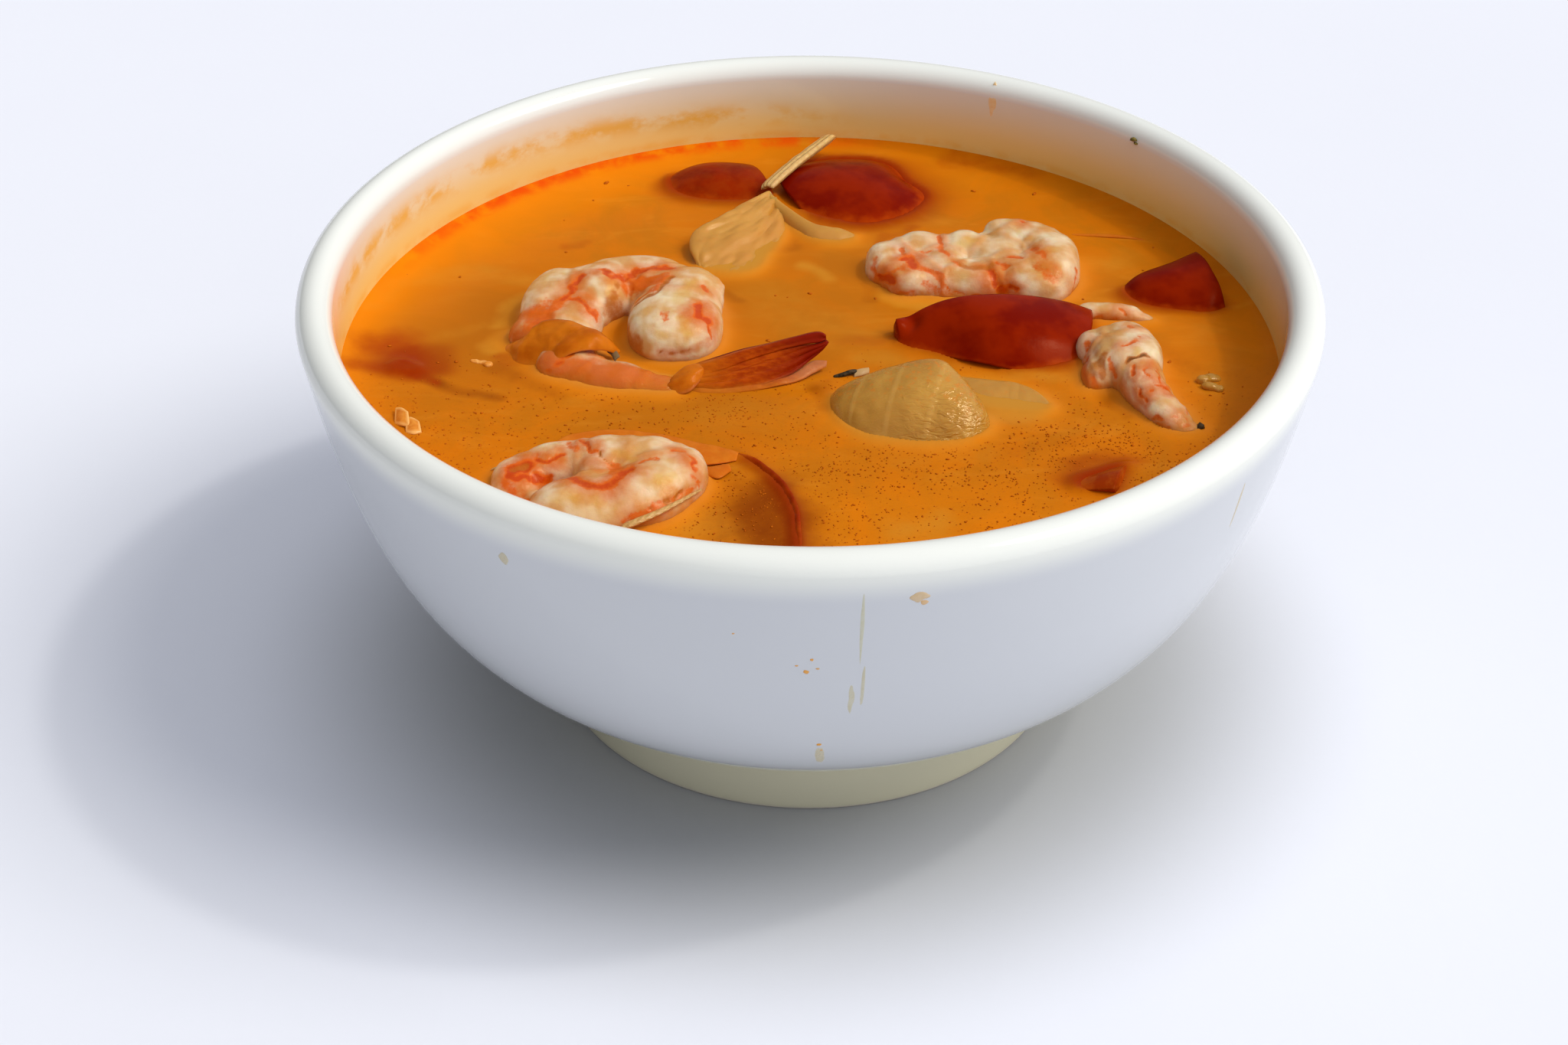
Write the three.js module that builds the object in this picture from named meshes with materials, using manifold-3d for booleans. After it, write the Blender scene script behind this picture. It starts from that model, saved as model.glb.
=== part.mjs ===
// Tom yum soup in a round footed bowl: shrimp, tomato wedges, onion petals and a strip of
// lemongrass stand in the broth. Millimetres, +Z up. The origin is on the bowl's axis, at the
// underside of the foot ring, and -Y is the front.

import * as THREE from 'three';
import { mergeVertices } from 'three/addons/utils/BufferGeometryUtils.js';
import Module from 'manifold-3d';

const wasm = await Module();
wasm.setup();

// ---------------------------------------------------------------- driving dimensions

const RIM_RADIUS = 80;
const RIM_TOP = 74.5;
const BEAD_RADIUS = 2.85; // half the thickness of the rounded rim
const FOOT_RADIUS = 42;
const FOOT_HEIGHT = 9.5;
const FOOT_WIDTH = 5;
const FOOT_RECESS = 5; // how far the underside is hollowed inside the foot ring
const FOOT_SLOPE = 0.8; // how far the foot's sides lean outwards on their way up
const FOOT_EDGE = 0.5; // the chamfer on the foot's edges
const WALL_STEP = 0.7; // how far the wall stands out from the top of the foot
const FLOOR_HEIGHT = 14.5; // top of the bowl's floor, on the axis
const BROTH_LEVEL = 59.3;
const BROTH_RADIUS = 74.2; // inner radius of the bowl at the broth's surface
const GAP = 0.3; // clearance between pieces that touch

// Handles of the cubic curves that the bowl's faces follow in section, as radius and height.
const OUTER_HANDLES = [[62.4, 24.6], [72.25, 26.6]];
const INNER_HANDLES = [[72, 30], [56, FLOOR_HEIGHT]];

const ROUND_STEPS = 48; // facets round the bowl
const WALL_STEPS = 7; // facets up each face of its wall
const BEAD_STEPS = 6;

const COLOURS = {
  glaze: [0xe9ecee, 0.12],
  broth: [0xd07c1e, 0.2],
  shrimp: [0xe8cdb4, 0.35],
  tomato: [0x9c1c06, 0.15],
  onion: [0xcfa65c, 0.25],
  lemongrass: [0xdcb069, 0.45],
};

// Shrimp: a curled tail on its side. The spine runs from the thick end to the thin one, with
// heights counted from the broth's surface. width and height are half the body's width seen
// from above and half its height, at the thick end, halfway and at the thin end.
const SHRIMP = {
  shrimp_1: {
    spine: [[-22.5, 0, 0.5], [-21.3, 9, 1], [-28, 18, 0.8], [-37, 16, 0.8], [-40, 6, 0.3],
      [-36.5, -5, -2], [-25, -10.5, -2.2]],
    width: [6.8, 7.6, 4],
    height: [6, 6, 3.2],
    fan: { from: [-25.5, -11.4, -1.5], to: [2.8, -8, 5.4], width: 8.6, thickness: 3.4, lean: 55 },
  },
  shrimp_2: {
    spine: [[-46.5, -38, -0.6], [-34, -35.5, 1.3], [-24, -37, 1.5], [-21.5, -44.5, 0.5],
      [-31, -48.5, 0], [-45, -46, -0.8]],
    width: [4.6, 5.4, 4.2],
    height: [4.6, 4.8, 4.6],
  },
  shrimp_3: {
    spine: [[28.8, 33.5, 2.6], [36.5, 32, 2], [38.5, 25, 0.5], [29, 20.5, -0.3], [18, 22, 0],
      [16, 29, 0.5], [22, 34, 0.5]],
    width: [5.4, 5.4, 4.2],
    height: [5.2, 5, 4.4],
  },
  shrimp_4: {
    spine: [[49, 3, 0.5], [51.2, -3.5, 1], [53.4, -11, -0.3], [59, -21.5, -1.8]],
    width: [5.2, 5.4, 2.6],
    height: [5.2, 5.2, 2.6],
  },
  shrimp_scrap: {
    spine: [[46.6, 13.2, 0.6], [50.3, 12.6, 0.9], [54, 10.8, 0]],
    width: [2.1, 2.1, 1.4],
    height: [2.1, 2, 1.4],
  },
};
const SHRIMP_SEGMENTS = 6;
const SEGMENT_SWELL = 0.05; // how much a segment bulges, as a part of the body's width
const BODY_STEPS = 16;
const BODY_SIDES = 8;
const END_LENGTH = 0.12; // the part of the body's length over which each end rounds off
const END_SIZE = 0.4; // what is left of its width at the very end

// Tomato wedges: a slice of an ellipsoid between two cut faces that meet along its core. pole
// is the tip of the core, and the core runs from there at the given heading and dip. span is
// how far the slice goes round from the pole, and skew slants its far end.
const TOMATO = {
  tomato_1: { pole: [12.3, 5, -1], heading: 6, dip: 24, roll: 23, halfLength: 28, radius: 16.5,
    open: 64, span: 90, skew: 0.2 },
  tomato_2: { pole: [32.3, 55.5, -18.5], heading: 180, dip: 0, roll: 0, halfLength: 24,
    radius: 22, open: 76, span: 112, skew: -0.1 },
  tomato_3: { pole: [-29, 55.5, -6], heading: 8, dip: 10, roll: 10, halfLength: 16.5,
    radius: 11.5, open: 84, span: 100, skew: -0.3 },
  tomato_4: { pole: [49, 17.8, -6.5], heading: 22, dip: -4, roll: 22, halfLength: 16,
    radius: 10.5, open: 84, span: 96, skew: 0.1 },
  tomato_5: { pole: [-72, -4, -8], heading: 8, dip: -6, roll: 8, halfLength: 11, radius: 9.5,
    open: 70, span: 120, skew: 0 },
  tomato_6: { pole: [34.2, -34, -10.5], heading: -16, dip: -14, roll: -14, halfLength: 12,
    radius: 9.5, open: 74, span: 104, skew: 0 },
};
const WEDGE_STEPS = 7;
const WEDGE_SIDES = 6;
const WEDGE_START = 14; // degrees from the pole to the first ring

// Petals: a curved sheet, arched across its width and along its length. taper narrows both
// ends, and flare widens the far one.
const PETALS = {
  tomato_7: { centre: [-1.8, -43.5, -4.4], heading: -69, pitch: 0, roll: -84, length: 30,
    width: 11, bendAcross: 26, bendAlong: 19, thickness: 1.8, taper: 0.1, flare: 0, colour: 'tomato' },
  onion_1: { centre: [15.8, -16.6, 2.7], heading: -70, pitch: 11, roll: 0, length: 20,
    width: 20, bendAcross: 14, bendAlong: 60, thickness: 2.2, taper: 0.06, flare: 0.12, colour: 'onion' },
  onion_2: { centre: [32.7, -12.4, 0.2], heading: -17, pitch: 0, roll: 11, length: 14.5,
    width: 10, bendAcross: 30, bendAlong: 60, thickness: 2, taper: 0.2, flare: 0, colour: 'onion' },
  onion_3: { centre: [-11.2, 34.6, 2.1], heading: 58, pitch: 0, roll: 10, length: 25,
    width: 17.5, bendAcross: 15, bendAlong: 42, thickness: 2, taper: 0.2, flare: 0, colour: 'onion' },
};
const PETAL_STEPS = 6;
const PETAL_SIDES = 5;

const LEMONGRASS = { from: [4, 69, 3.2], to: [-6.5, 53.5, 2.4], width: 3.2, thickness: 1.8 };

// ---------------------------------------------------------------- shared helpers

const { degToRad, lerp } = THREE.MathUtils;
const UP = new THREE.Vector3(0, 0, 1);

function material(name) {
  const [color, roughness] = COLOURS[name];
  return new THREE.MeshStandardMaterial({ color, roughness, metalness: 0 });
}

function count(steps) {
  return [...Array(steps + 1).keys()];
}

// Points round an ellipse that the two given half axes span.
function ellipse(centre, halfWidth, halfHeight, sides) {
  return count(sides - 1).map((side) => {
    const angle = (2 * Math.PI * side) / sides;
    const point = centre.clone().addScaledVector(halfWidth, Math.cos(angle));
    return point.addScaledVector(halfHeight, Math.sin(angle));
  });
}

// A body of rings of points, closed by a fan at each end.
function loft(rings) {
  const sides = rings[0].length;
  const middle = (ring) => ring.reduce((sum, p) => sum.add(p), new THREE.Vector3()).divideScalar(sides);
  const points = [...rings.flat(), middle(rings[0]), middle(rings.at(-1))];
  const start = points.length - 2;
  const end = points.length - 1;
  const lastRing = (rings.length - 1) * sides;
  const faces = [];
  for (let side = 0; side < sides; side += 1) {
    const next = (side + 1) % sides;
    for (let row = 0; row < lastRing; row += sides) {
      faces.push(row + side, row + next, row + sides + next);
      faces.push(row + side, row + sides + next, row + sides + side);
    }
    faces.push(start, next, side);
    faces.push(end, lastRing + side, lastRing + next);
  }
  const geometry = new THREE.BufferGeometry().setFromPoints(points);
  geometry.setIndex(volume(points, faces) < 0 ? faces.reverse() : faces);
  return geometry;
}

function volume(points, faces) {
  let sum = 0;
  for (let i = 0; i < faces.length; i += 3) {
    const [a, b, c] = faces.slice(i, i + 3).map((k) => points[k]);
    sum += a.dot(b.clone().cross(c)) / 6;
  }
  return sum;
}

// The geometry with its seams merged, moved out along its normals by the given distance.
function grown(geometry, distance) {
  const bare = new THREE.BufferGeometry();
  bare.setAttribute('position', geometry.getAttribute('position').clone());
  bare.setIndex(geometry.getIndex().clone());
  const merged = mergeVertices(bare, 1e-4);
  merged.computeVertexNormals();
  const { position, normal } = merged.attributes;
  const point = new THREE.Vector3();
  const out = new THREE.Vector3();
  for (let i = 0; i < position.count; i += 1) {
    point.fromBufferAttribute(position, i);
    out.fromBufferAttribute(normal, i);
    point.addScaledVector(out, distance);
    position.setXYZ(i, point.x, point.y, point.z);
  }
  merged.deleteAttribute('normal');
  return merged;
}

// A manifold solid of a closed geometry.
function solid(geometry) {
  const merged = grown(geometry, 0);
  const index = merged.getIndex().array;
  const triangles = [];
  for (let i = 0; i < index.length; i += 3) {
    const [a, b, c] = index.slice(i, i + 3);
    if (a !== b && b !== c && c !== a) {
      triangles.push(a, b, c);
    }
  }
  const vertProperties = new Float32Array(merged.getAttribute('position').array);
  const triVerts = new Uint32Array(triangles);
  return new wasm.Manifold(new wasm.Mesh({ numProp: 3, vertProperties, triVerts }));
}

function geometryOf(manifold) {
  const { vertProperties, triVerts } = manifold.getMesh();
  const geometry = new THREE.BufferGeometry();
  geometry.setAttribute('position', new THREE.BufferAttribute(new Float32Array(vertProperties), 3));
  geometry.setIndex(new THREE.BufferAttribute(new Uint32Array(triVerts), 1));
  return geometry;
}

function union(geometries) {
  return geometries.map(solid).reduce((sum, piece) => sum.add(piece));
}

// A topping made of one or more joined pieces, placed at a height over the broth and turned by
// a heading about Z, a pitch about its own Y and a roll about its own X.
function topping(pieces, colour, place = [0, 0, 0], heading = 0, pitch = 0, roll = 0) {
  const geometry = pieces.length > 1 ? geometryOf(union(pieces)) : pieces[0];
  const mesh = new THREE.Mesh(geometry, material(colour));
  mesh.rotation.set(degToRad(roll), degToRad(pitch), degToRad(heading), 'ZYX');
  mesh.position.set(place[0], place[1], BROTH_LEVEL + place[2]);
  mesh.userData.pieces = pieces;
  return mesh;
}

// ---------------------------------------------------------------- the bowl and its broth

function sectionCurve(from, handles, to) {
  const [first, second] = handles.map(([radius, height]) => new THREE.Vector2(radius, height));
  return new THREE.CubicBezierCurve(new THREE.Vector2(...from), first, second, new THREE.Vector2(...to));
}

const beadCentre = new THREE.Vector2(RIM_RADIUS - BEAD_RADIUS, RIM_TOP - BEAD_RADIUS);
const footTop = FOOT_RADIUS + FOOT_SLOPE;
const wallFoot = [footTop + WALL_STEP, FOOT_HEIGHT];
const outerWall = sectionCurve(wallFoot, OUTER_HANDLES, [RIM_RADIUS, beadCentre.y]);
const innerWall = sectionCurve([BROTH_RADIUS, BROTH_LEVEL], INNER_HANDLES, [0, FLOOR_HEIGHT]);

function upright(profile) {
  return new THREE.LatheGeometry(profile, ROUND_STEPS).rotateX(Math.PI / 2);
}

function footProfile() {
  const inner = FOOT_RADIUS - FOOT_WIDTH;
  return [
    new THREE.Vector2(0, FOOT_RECESS),
    new THREE.Vector2(inner - FOOT_SLOPE, FOOT_RECESS),
    new THREE.Vector2(inner, FOOT_EDGE),
    new THREE.Vector2(inner + FOOT_EDGE, 0),
    new THREE.Vector2(FOOT_RADIUS - FOOT_EDGE, 0),
    new THREE.Vector2(FOOT_RADIUS, FOOT_EDGE),
    new THREE.Vector2(footTop, FOOT_HEIGHT - FOOT_EDGE),
  ];
}

function beadProfile() {
  return count(BEAD_STEPS).slice(1).map((step) => {
    const angle = (Math.PI * step) / BEAD_STEPS;
    const out = new THREE.Vector2(Math.cos(angle), Math.sin(angle));
    return beadCentre.clone().addScaledVector(out, BEAD_RADIUS);
  });
}

function bowlGeometry() {
  return upright([
    ...footProfile(),
    ...outerWall.getPoints(WALL_STEPS),
    ...beadProfile(),
    ...innerWall.getPoints(WALL_STEPS),
  ]);
}

// The broth fills the bowl up to its level, clear of the wall and of every topping.
function brothSolid(toppings) {
  const wall = count(WALL_STEPS).map((step) => {
    const along = innerWall.getTangent(step / WALL_STEPS);
    const inwards = new THREE.Vector2(along.y, -along.x);
    return innerWall.getPoint(step / WALL_STEPS).addScaledVector(inwards, GAP);
  });
  wall[0].y = BROTH_LEVEL;
  wall[WALL_STEPS].x = 0;
  let broth = solid(upright([...wall.reverse(), new THREE.Vector2(0, BROTH_LEVEL)]));
  for (const mesh of toppings) {
    mesh.updateMatrixWorld();
    for (const piece of mesh.userData.pieces) {
      for (const distance of [2 * GAP, 0]) {
        const room = grown(piece, distance).applyMatrix4(mesh.matrixWorld);
        broth = broth.subtract(solid(room));
      }
    }
  }
  const pools = broth.decompose(); // a drop trapped beside a topping isn't part of the broth
  return pools.sort((a, b) => b.volume() - a.volume())[0];
}

// ---------------------------------------------------------------- toppings

// A value that goes from the first of three to the last by way of the middle one.
function through([start, middle, end], at) {
  return at < 0.5 ? lerp(start, middle, 2 * at) : lerp(middle, end, 2 * at - 1);
}

// How sharply a curve turns towards the given side, per millimetre.
function bendTowards(side, curve, at) {
  const before = Math.max(at - 0.04, 0);
  const after = Math.min(at + 0.04, 1);
  const turned = curve.getTangentAt(after).sub(curve.getTangentAt(before));
  return turned.dot(side) / ((after - before) * curve.getLength());
}

// How much of its full size the body has, rounded off at its ends and swollen at each segment.
function bodySize(at) {
  const nearEnd = Math.min(Math.min(at, 1 - at) / END_LENGTH, 1);
  const rounding = Math.sqrt(lerp(END_SIZE ** 2, 1, nearEnd * (2 - nearEnd)));
  return rounding * (1 + SEGMENT_SWELL * Math.cos(2 * Math.PI * SHRIMP_SEGMENTS * at));
}

function bodyRing(spec, curve, at) {
  const centre = curve.getPointAt(at);
  const along = curve.getTangentAt(at);
  const side = along.clone().cross(UP).normalize();
  const lift = side.clone().cross(along);
  const width = through(spec.width, at) * bodySize(at);
  const height = through(spec.height, at) * bodySize(at);
  const ring = ellipse(centre, side.clone().multiplyScalar(width), lift.multiplyScalar(height), BODY_SIDES);
  const bend = bendTowards(side, curve, at);
  const room = 0.8 / Math.max(Math.abs(bend), 0.01); // the body stops short of the bend's centre
  for (const point of ring) {
    const reach = point.clone().sub(centre).dot(side);
    if (reach * bend > 0 && width > room) {
      point.addScaledVector(side, reach * (room / width - 1));
    }
  }
  return ring;
}

// The body comes in two halves, because the ends of a curl can meet.
function shrimpBody(spec) {
  const waypoints = spec.spine.map((point) => new THREE.Vector3(...point));
  const curve = new THREE.CatmullRomCurve3(waypoints, false, 'centripetal');
  const rings = count(BODY_STEPS).map((step) => bodyRing(spec, curve, step / BODY_STEPS));
  const middle = BODY_STEPS / 2;
  return [loft(rings.slice(0, middle + 1)), loft(rings.slice(middle))];
}

// The closed tail fan: a flat leaf, widest past its middle.
function tailFan({ from, to, width, thickness, lean }) {
  const start = new THREE.Vector3(...from);
  const end = new THREE.Vector3(...to);
  const along = end.clone().sub(start).normalize();
  const flat = UP.clone().cross(along).normalize().applyAxisAngle(along, degToRad(lean));
  const across = along.clone().cross(flat);
  const steps = 6;
  return loft(count(steps).map((step) => {
    const at = step / steps;
    const leaf = 0.32 + 0.68 * Math.sin(Math.PI * at ** 1.35) ** 0.8;
    const halfWidth = flat.clone().multiplyScalar((width / 2) * leaf);
    const halfHeight = across.clone().multiplyScalar((thickness / 2) * leaf);
    return ellipse(start.clone().lerp(end, at), halfWidth, halfHeight, BODY_SIDES);
  }));
}

function shrimp(spec) {
  const fan = spec.fan ? [tailFan(spec.fan)] : [];
  return topping([...shrimpBody(spec), ...fan], 'shrimp');
}

function tomatoWedge(spec) {
  const rings = count(WEDGE_STEPS).map((step) => {
    const turned = degToRad(lerp(WEDGE_START, spec.span, step / WEDGE_STEPS));
    const reach = spec.radius * Math.sin(turned);
    const along = spec.halfLength * (1 - Math.cos(turned));
    const skin = count(WEDGE_SIDES).map((side) => {
      const angle = degToRad(spec.open) * (side / WEDGE_SIDES - 0.5);
      const sideways = reach * Math.sin(angle);
      const skewed = along + spec.skew * (step / WEDGE_STEPS) * sideways;
      return new THREE.Vector3(skewed, sideways, reach * Math.cos(angle));
    });
    return [new THREE.Vector3(along, 0, 0), ...skin];
  });
  return topping([loft(rings)], 'tomato', spec.pole, spec.heading, spec.dip, spec.roll);
}

function petal(spec) {
  const halfLength = spec.length / 2;
  const rings = count(PETAL_STEPS).map((step) => {
    const at = (2 * step) / PETAL_STEPS - 1;
    const narrowed = 1 - spec.taper * at * at + spec.flare * at;
    const halfAngle = (spec.width / 2 / spec.bendAcross) * narrowed;
    const drop = (halfLength * at) ** 2 / (2 * spec.bendAlong);
    const face = (radius) => count(PETAL_SIDES).map((side) => {
      const angle = halfAngle * ((2 * side) / PETAL_SIDES - 1);
      const height = radius * Math.cos(angle) - spec.bendAcross - drop;
      return new THREE.Vector3(halfLength * at, radius * Math.sin(angle), height);
    });
    return [...face(spec.bendAcross), ...face(spec.bendAcross - spec.thickness).reverse()];
  });
  return topping([loft(rings)], spec.colour, spec.centre, spec.heading, spec.pitch, spec.roll);
}

function strip({ from, to, width, thickness }) {
  const start = new THREE.Vector3(...from);
  const end = new THREE.Vector3(...to);
  const along = end.clone().sub(start).normalize();
  const side = along.clone().cross(UP).normalize();
  const halfWidth = side.clone().multiplyScalar(width / 2);
  const halfHeight = side.clone().cross(along).multiplyScalar(thickness / 2);
  const rings = [start, end].map((centre) => ellipse(centre, halfWidth, halfHeight, BODY_SIDES));
  return topping([loft(rings)], 'lemongrass');
}

// ---------------------------------------------------------------- assembly

function named(name, mesh) {
  mesh.name = name;
  return mesh;
}

const toppings = [
  ...Object.entries(SHRIMP).map(([name, spec]) => named(name, shrimp(spec))),
  ...Object.entries(TOMATO).map(([name, spec]) => named(name, tomatoWedge(spec))),
  ...Object.entries(PETALS).map(([name, spec]) => named(name, petal(spec))),
  named('lemongrass', strip(LEMONGRASS)),
];

const soup = new THREE.Group();
soup.add(named('bowl', new THREE.Mesh(bowlGeometry(), material('glaze'))));
soup.add(named('broth', new THREE.Mesh(geometryOf(brothSolid(toppings)), material('broth'))));
soup.add(...toppings);

export default soup;
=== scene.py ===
"""Tom yum soup in its bowl: the looks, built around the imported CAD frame.

All tables are in millimetres, in the frame of the CAD: the origin is on the bowl's axis at the
underside of its foot, +Z is up and -Y is the front. Heights in the tables of the toppings are
counted from the broth's surface, as they are in the part's source.
"""

import itertools
import math

import bpy
import numpy as np
from mathutils import Matrix, Vector
from mathutils.bvhtree import BVHTree
from mathutils.kdtree import KDTree


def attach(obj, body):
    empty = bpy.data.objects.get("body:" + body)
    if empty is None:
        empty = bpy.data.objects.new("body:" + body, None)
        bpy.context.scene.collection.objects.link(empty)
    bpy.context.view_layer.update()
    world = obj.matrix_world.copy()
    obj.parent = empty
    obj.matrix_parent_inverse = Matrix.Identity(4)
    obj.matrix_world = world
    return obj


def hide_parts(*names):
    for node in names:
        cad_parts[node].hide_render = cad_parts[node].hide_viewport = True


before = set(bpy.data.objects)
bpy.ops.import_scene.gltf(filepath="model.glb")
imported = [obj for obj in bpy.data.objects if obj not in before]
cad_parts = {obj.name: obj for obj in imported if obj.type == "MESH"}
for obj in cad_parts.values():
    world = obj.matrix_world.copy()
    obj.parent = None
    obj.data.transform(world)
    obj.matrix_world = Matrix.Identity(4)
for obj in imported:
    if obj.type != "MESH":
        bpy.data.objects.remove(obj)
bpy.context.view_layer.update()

MM = 0.001
UP = np.array([0.0, 0.0, 1.0])
DOWN = Vector((0, 0, -1))

# ------------------------------------------------------------------ the bowl's dimensions

RIM_RADIUS = 80
RIM_TOP = 74.5
BEAD_RADIUS = 2.85
FOOT_RADIUS = 42
FOOT_HEIGHT = 9.5
FOOT_WIDTH = 5
FOOT_RECESS = 5
FOOT_SLOPE = 0.8
FLOOR_HEIGHT = 14.5
BROTH_LEVEL = 59.3
BROTH_RADIUS = 74.2
OUTER_HANDLES = [(62.4, 24.6), (72.25, 26.6)]
INNER_HANDLES = [(72, 30), (56, FLOOR_HEIGHT)]
WALL_BITE = 0.4  # how far the broth reaches into the wall
WALL_CLIMB, WALL_SPREAD = 0.9, 1.5  # how high and how far out the broth is drawn up at the wall
TOPPING_CLIMB, TOPPING_SPREAD = 0.55, 0.8  # the same at the toppings
FOOT_EDGE = 0.5  # the radius of the foot's rounded edges
BOWL_SIDES = 288
OUTER_STEPS, LIP_STEPS, INNER_STEPS = 60, 40, 50  # points along the bowl's profile
RESIDUE_HEADINGS = (85, 96, 112, 130, 170)
RESIDUE_HEIGHTS = (63.4, 64.6, 65.6, 66.9, 67.0)

# ------------------------------------------------------------------ the toppings' dimensions

BOXINESS = 2.5  # of the shrimp's lobes: 2 is a ball, and more is closer to a box
BROTH_CELLS = 280  # squares across the broth's surface

# Shrimp meat is a heap of lobes: the centre of each, with its height over the broth, its half
# sizes, and its heading in degrees where it is turned.
LOBES = {
    "shrimp_1": [
        ((-21.6, 4.6, 1.6), (7.8, 8.6, 5.2)), ((-20.6, 13.0, 2.6), (6.2, 6.0, 4.4)),
        ((-29.0, 18.2, 2.0), (9.6, 4.4, 4.6), 4), ((-34.4, 13.2, 2.4), (5.0, 5.6, 4.6)),
        ((-41.3, 12.3, 1.6), (5.0, 8.0, 4.6), -18), ((-37.6, 6.4, 1.4), (4.6, 4.2, 3.9)),
        ((-41.0, 2.0, 0.2), (7.5, 4.4, 4.2), -22), ((-38.0, -4.6, -0.8), (5.4, 4.6, 4.2)),
        ((-31.0, -8.2, -1.0), (6.4, 4.0, 3.4), -12), ((-23.5, -10.2, -1.3), (4.6, 3.0, 2.7), -8),
        ((-16.6, 14.8, 4.0), (3.4, 1.3, 0.9), -20), ((-15.6, 11.0, 2.8), (1.8, 2.2, 2.0)),
    ],
    "shrimp_2": [
        ((-22.6, -41.6, 1.0), (8.2, 5.2, 4.8), 35), ((-31.5, -45.2, 0.6), (9.5, 4.8, 4.4), 8),
        ((-43.2, -39.3, 0.0), (4.2, 5.2, 3.7)), ((-36.8, -35.6, 0.8), (6.8, 4.4, 3.8), 12),
        ((-29.6, -35.8, 1.8), (5.2, 4.6, 4.2)), ((-23.6, -35.8, 2.0), (5.2, 4.2, 4.0)),
        ((-18.3, -37.2, 1.4), (3.2, 4.4, 3.4)), ((-31.4, -40.2, 2.2), (2.6, 2.4, 2.6)),
    ],
    "shrimp_3": [
        ((18.7, 29.9, 1.8), (4.4, 3.7, 3.4)), ((12.9, 26.2, 1.0), (3.8, 5.4, 3.8)),
        ((16.5, 21.4, 0.8), (4.2, 4.0, 3.6)), ((22.3, 25.0, 1.5), (3.7, 3.5, 3.2)),
        ((25.7, 30.0, 2.0), (3.9, 3.7, 3.4)), ((27.8, 20.9, 0.8), (4.6, 3.8, 3.4)),
        ((31.2, 27.6, 1.9), (4.8, 4.0, 3.4)), ((32.4, 33.5, 3.6), (3.5, 2.2, 2.6)),
        ((40.0, 25.8, 1.6), (5.0, 7.6, 4.8)), ((36.4, 31.6, 2.4), (5.0, 4.2, 3.8)),
        ((37.4, 20.0, 1.0), (5.4, 4.8, 3.9)), ((33.6, 22.6, 1.5), (3.8, 4.0, 3.6)),
        ((26.0, 25.6, -1.8), (13.5, 7.4, 3.8)),
    ],
    "shrimp_4": [
        ((45.4, -0.4, 1.2), (3.2, 3.2, 3.2)), ((50.0, -0.4, 2.2), (4.0, 3.6, 3.6)),
        ((51.4, -5.2, 2.0), (4.4, 5.4, 4.2)), ((47.8, -5.8, 1.6), (3.4, 4.8, 3.8)),
        ((44.9, -7.4, -0.2), (2.4, 4.4, 2.8)), ((51.6, -12.0, 1.5), (3.4, 5.2, 3.6), 15),
        ((54.0, -17.2, 0.5), (3.1, 4.6, 3.0), 22), ((56.4, -20.6, -0.3), (2.8, 3.0, 2.2)),
        ((58.6, -22.3, -0.6), (2.0, 1.4, 1.0)),
    ],
    "shrimp_scrap": [
        ((46.8, 12.3, 0.4), (3.6, 2.0, 1.7)), ((51.0, 11.8, 0.4), (3.0, 1.7, 1.5)),
        ((53.9, 10.9, 0.0), (2.0, 0.9, 0.8)),
    ],
}

# The line that each shrimp's body follows, and the body's half width and half height at its
# thick end, halfway and at its thin end.
SPINES = {
    "shrimp_1": (((-22, 2, 0), (-21, 10, 0.8), (-28, 17, 0.6), (-36.5, 14.5, 0.6), (-39.5, 5, 0),
                  (-36.5, -5, -1.7), (-24, -10.6, -2)), (6.2, 6.2, 3.6), (5.4, 5.4, 3.0)),
    "shrimp_2": (((-46, -38, -0.8), (-34, -35.5, 0.8), (-24, -36.5, 1.2), (-21.5, -42.5, 0.5),
                  (-30, -47, 0), (-42, -46, -0.8)), (3.8, 5.0, 4.2), (3.8, 4.4, 4.2)),
    "shrimp_3": (((29.5, 32.5, 2), (36.5, 31, 1.6), (38.5, 25, 0.3), (29, 22, -0.3), (18, 23, 0),
                  (16, 29, 0.5), (21, 31, 0.5)), (4.0, 4.8, 3.8), (4.4, 4.6, 4.0)),
    "shrimp_4": (((49, 1.5, 0.4), (50.6, -4.5, 0.9), (52.6, -12, 0), (57.4, -20.5, -1.2)),
                 (4.0, 3.6, 2.2), (4.2, 4.2, 2.2)),
    "shrimp_scrap": (((45.5, 12.2, 0.2), (50.3, 11.8, 0.4), (54, 10.8, 0)),
                     (1.5, 1.5, 0.8), (1.4, 1.4, 0.8)),
}

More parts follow.
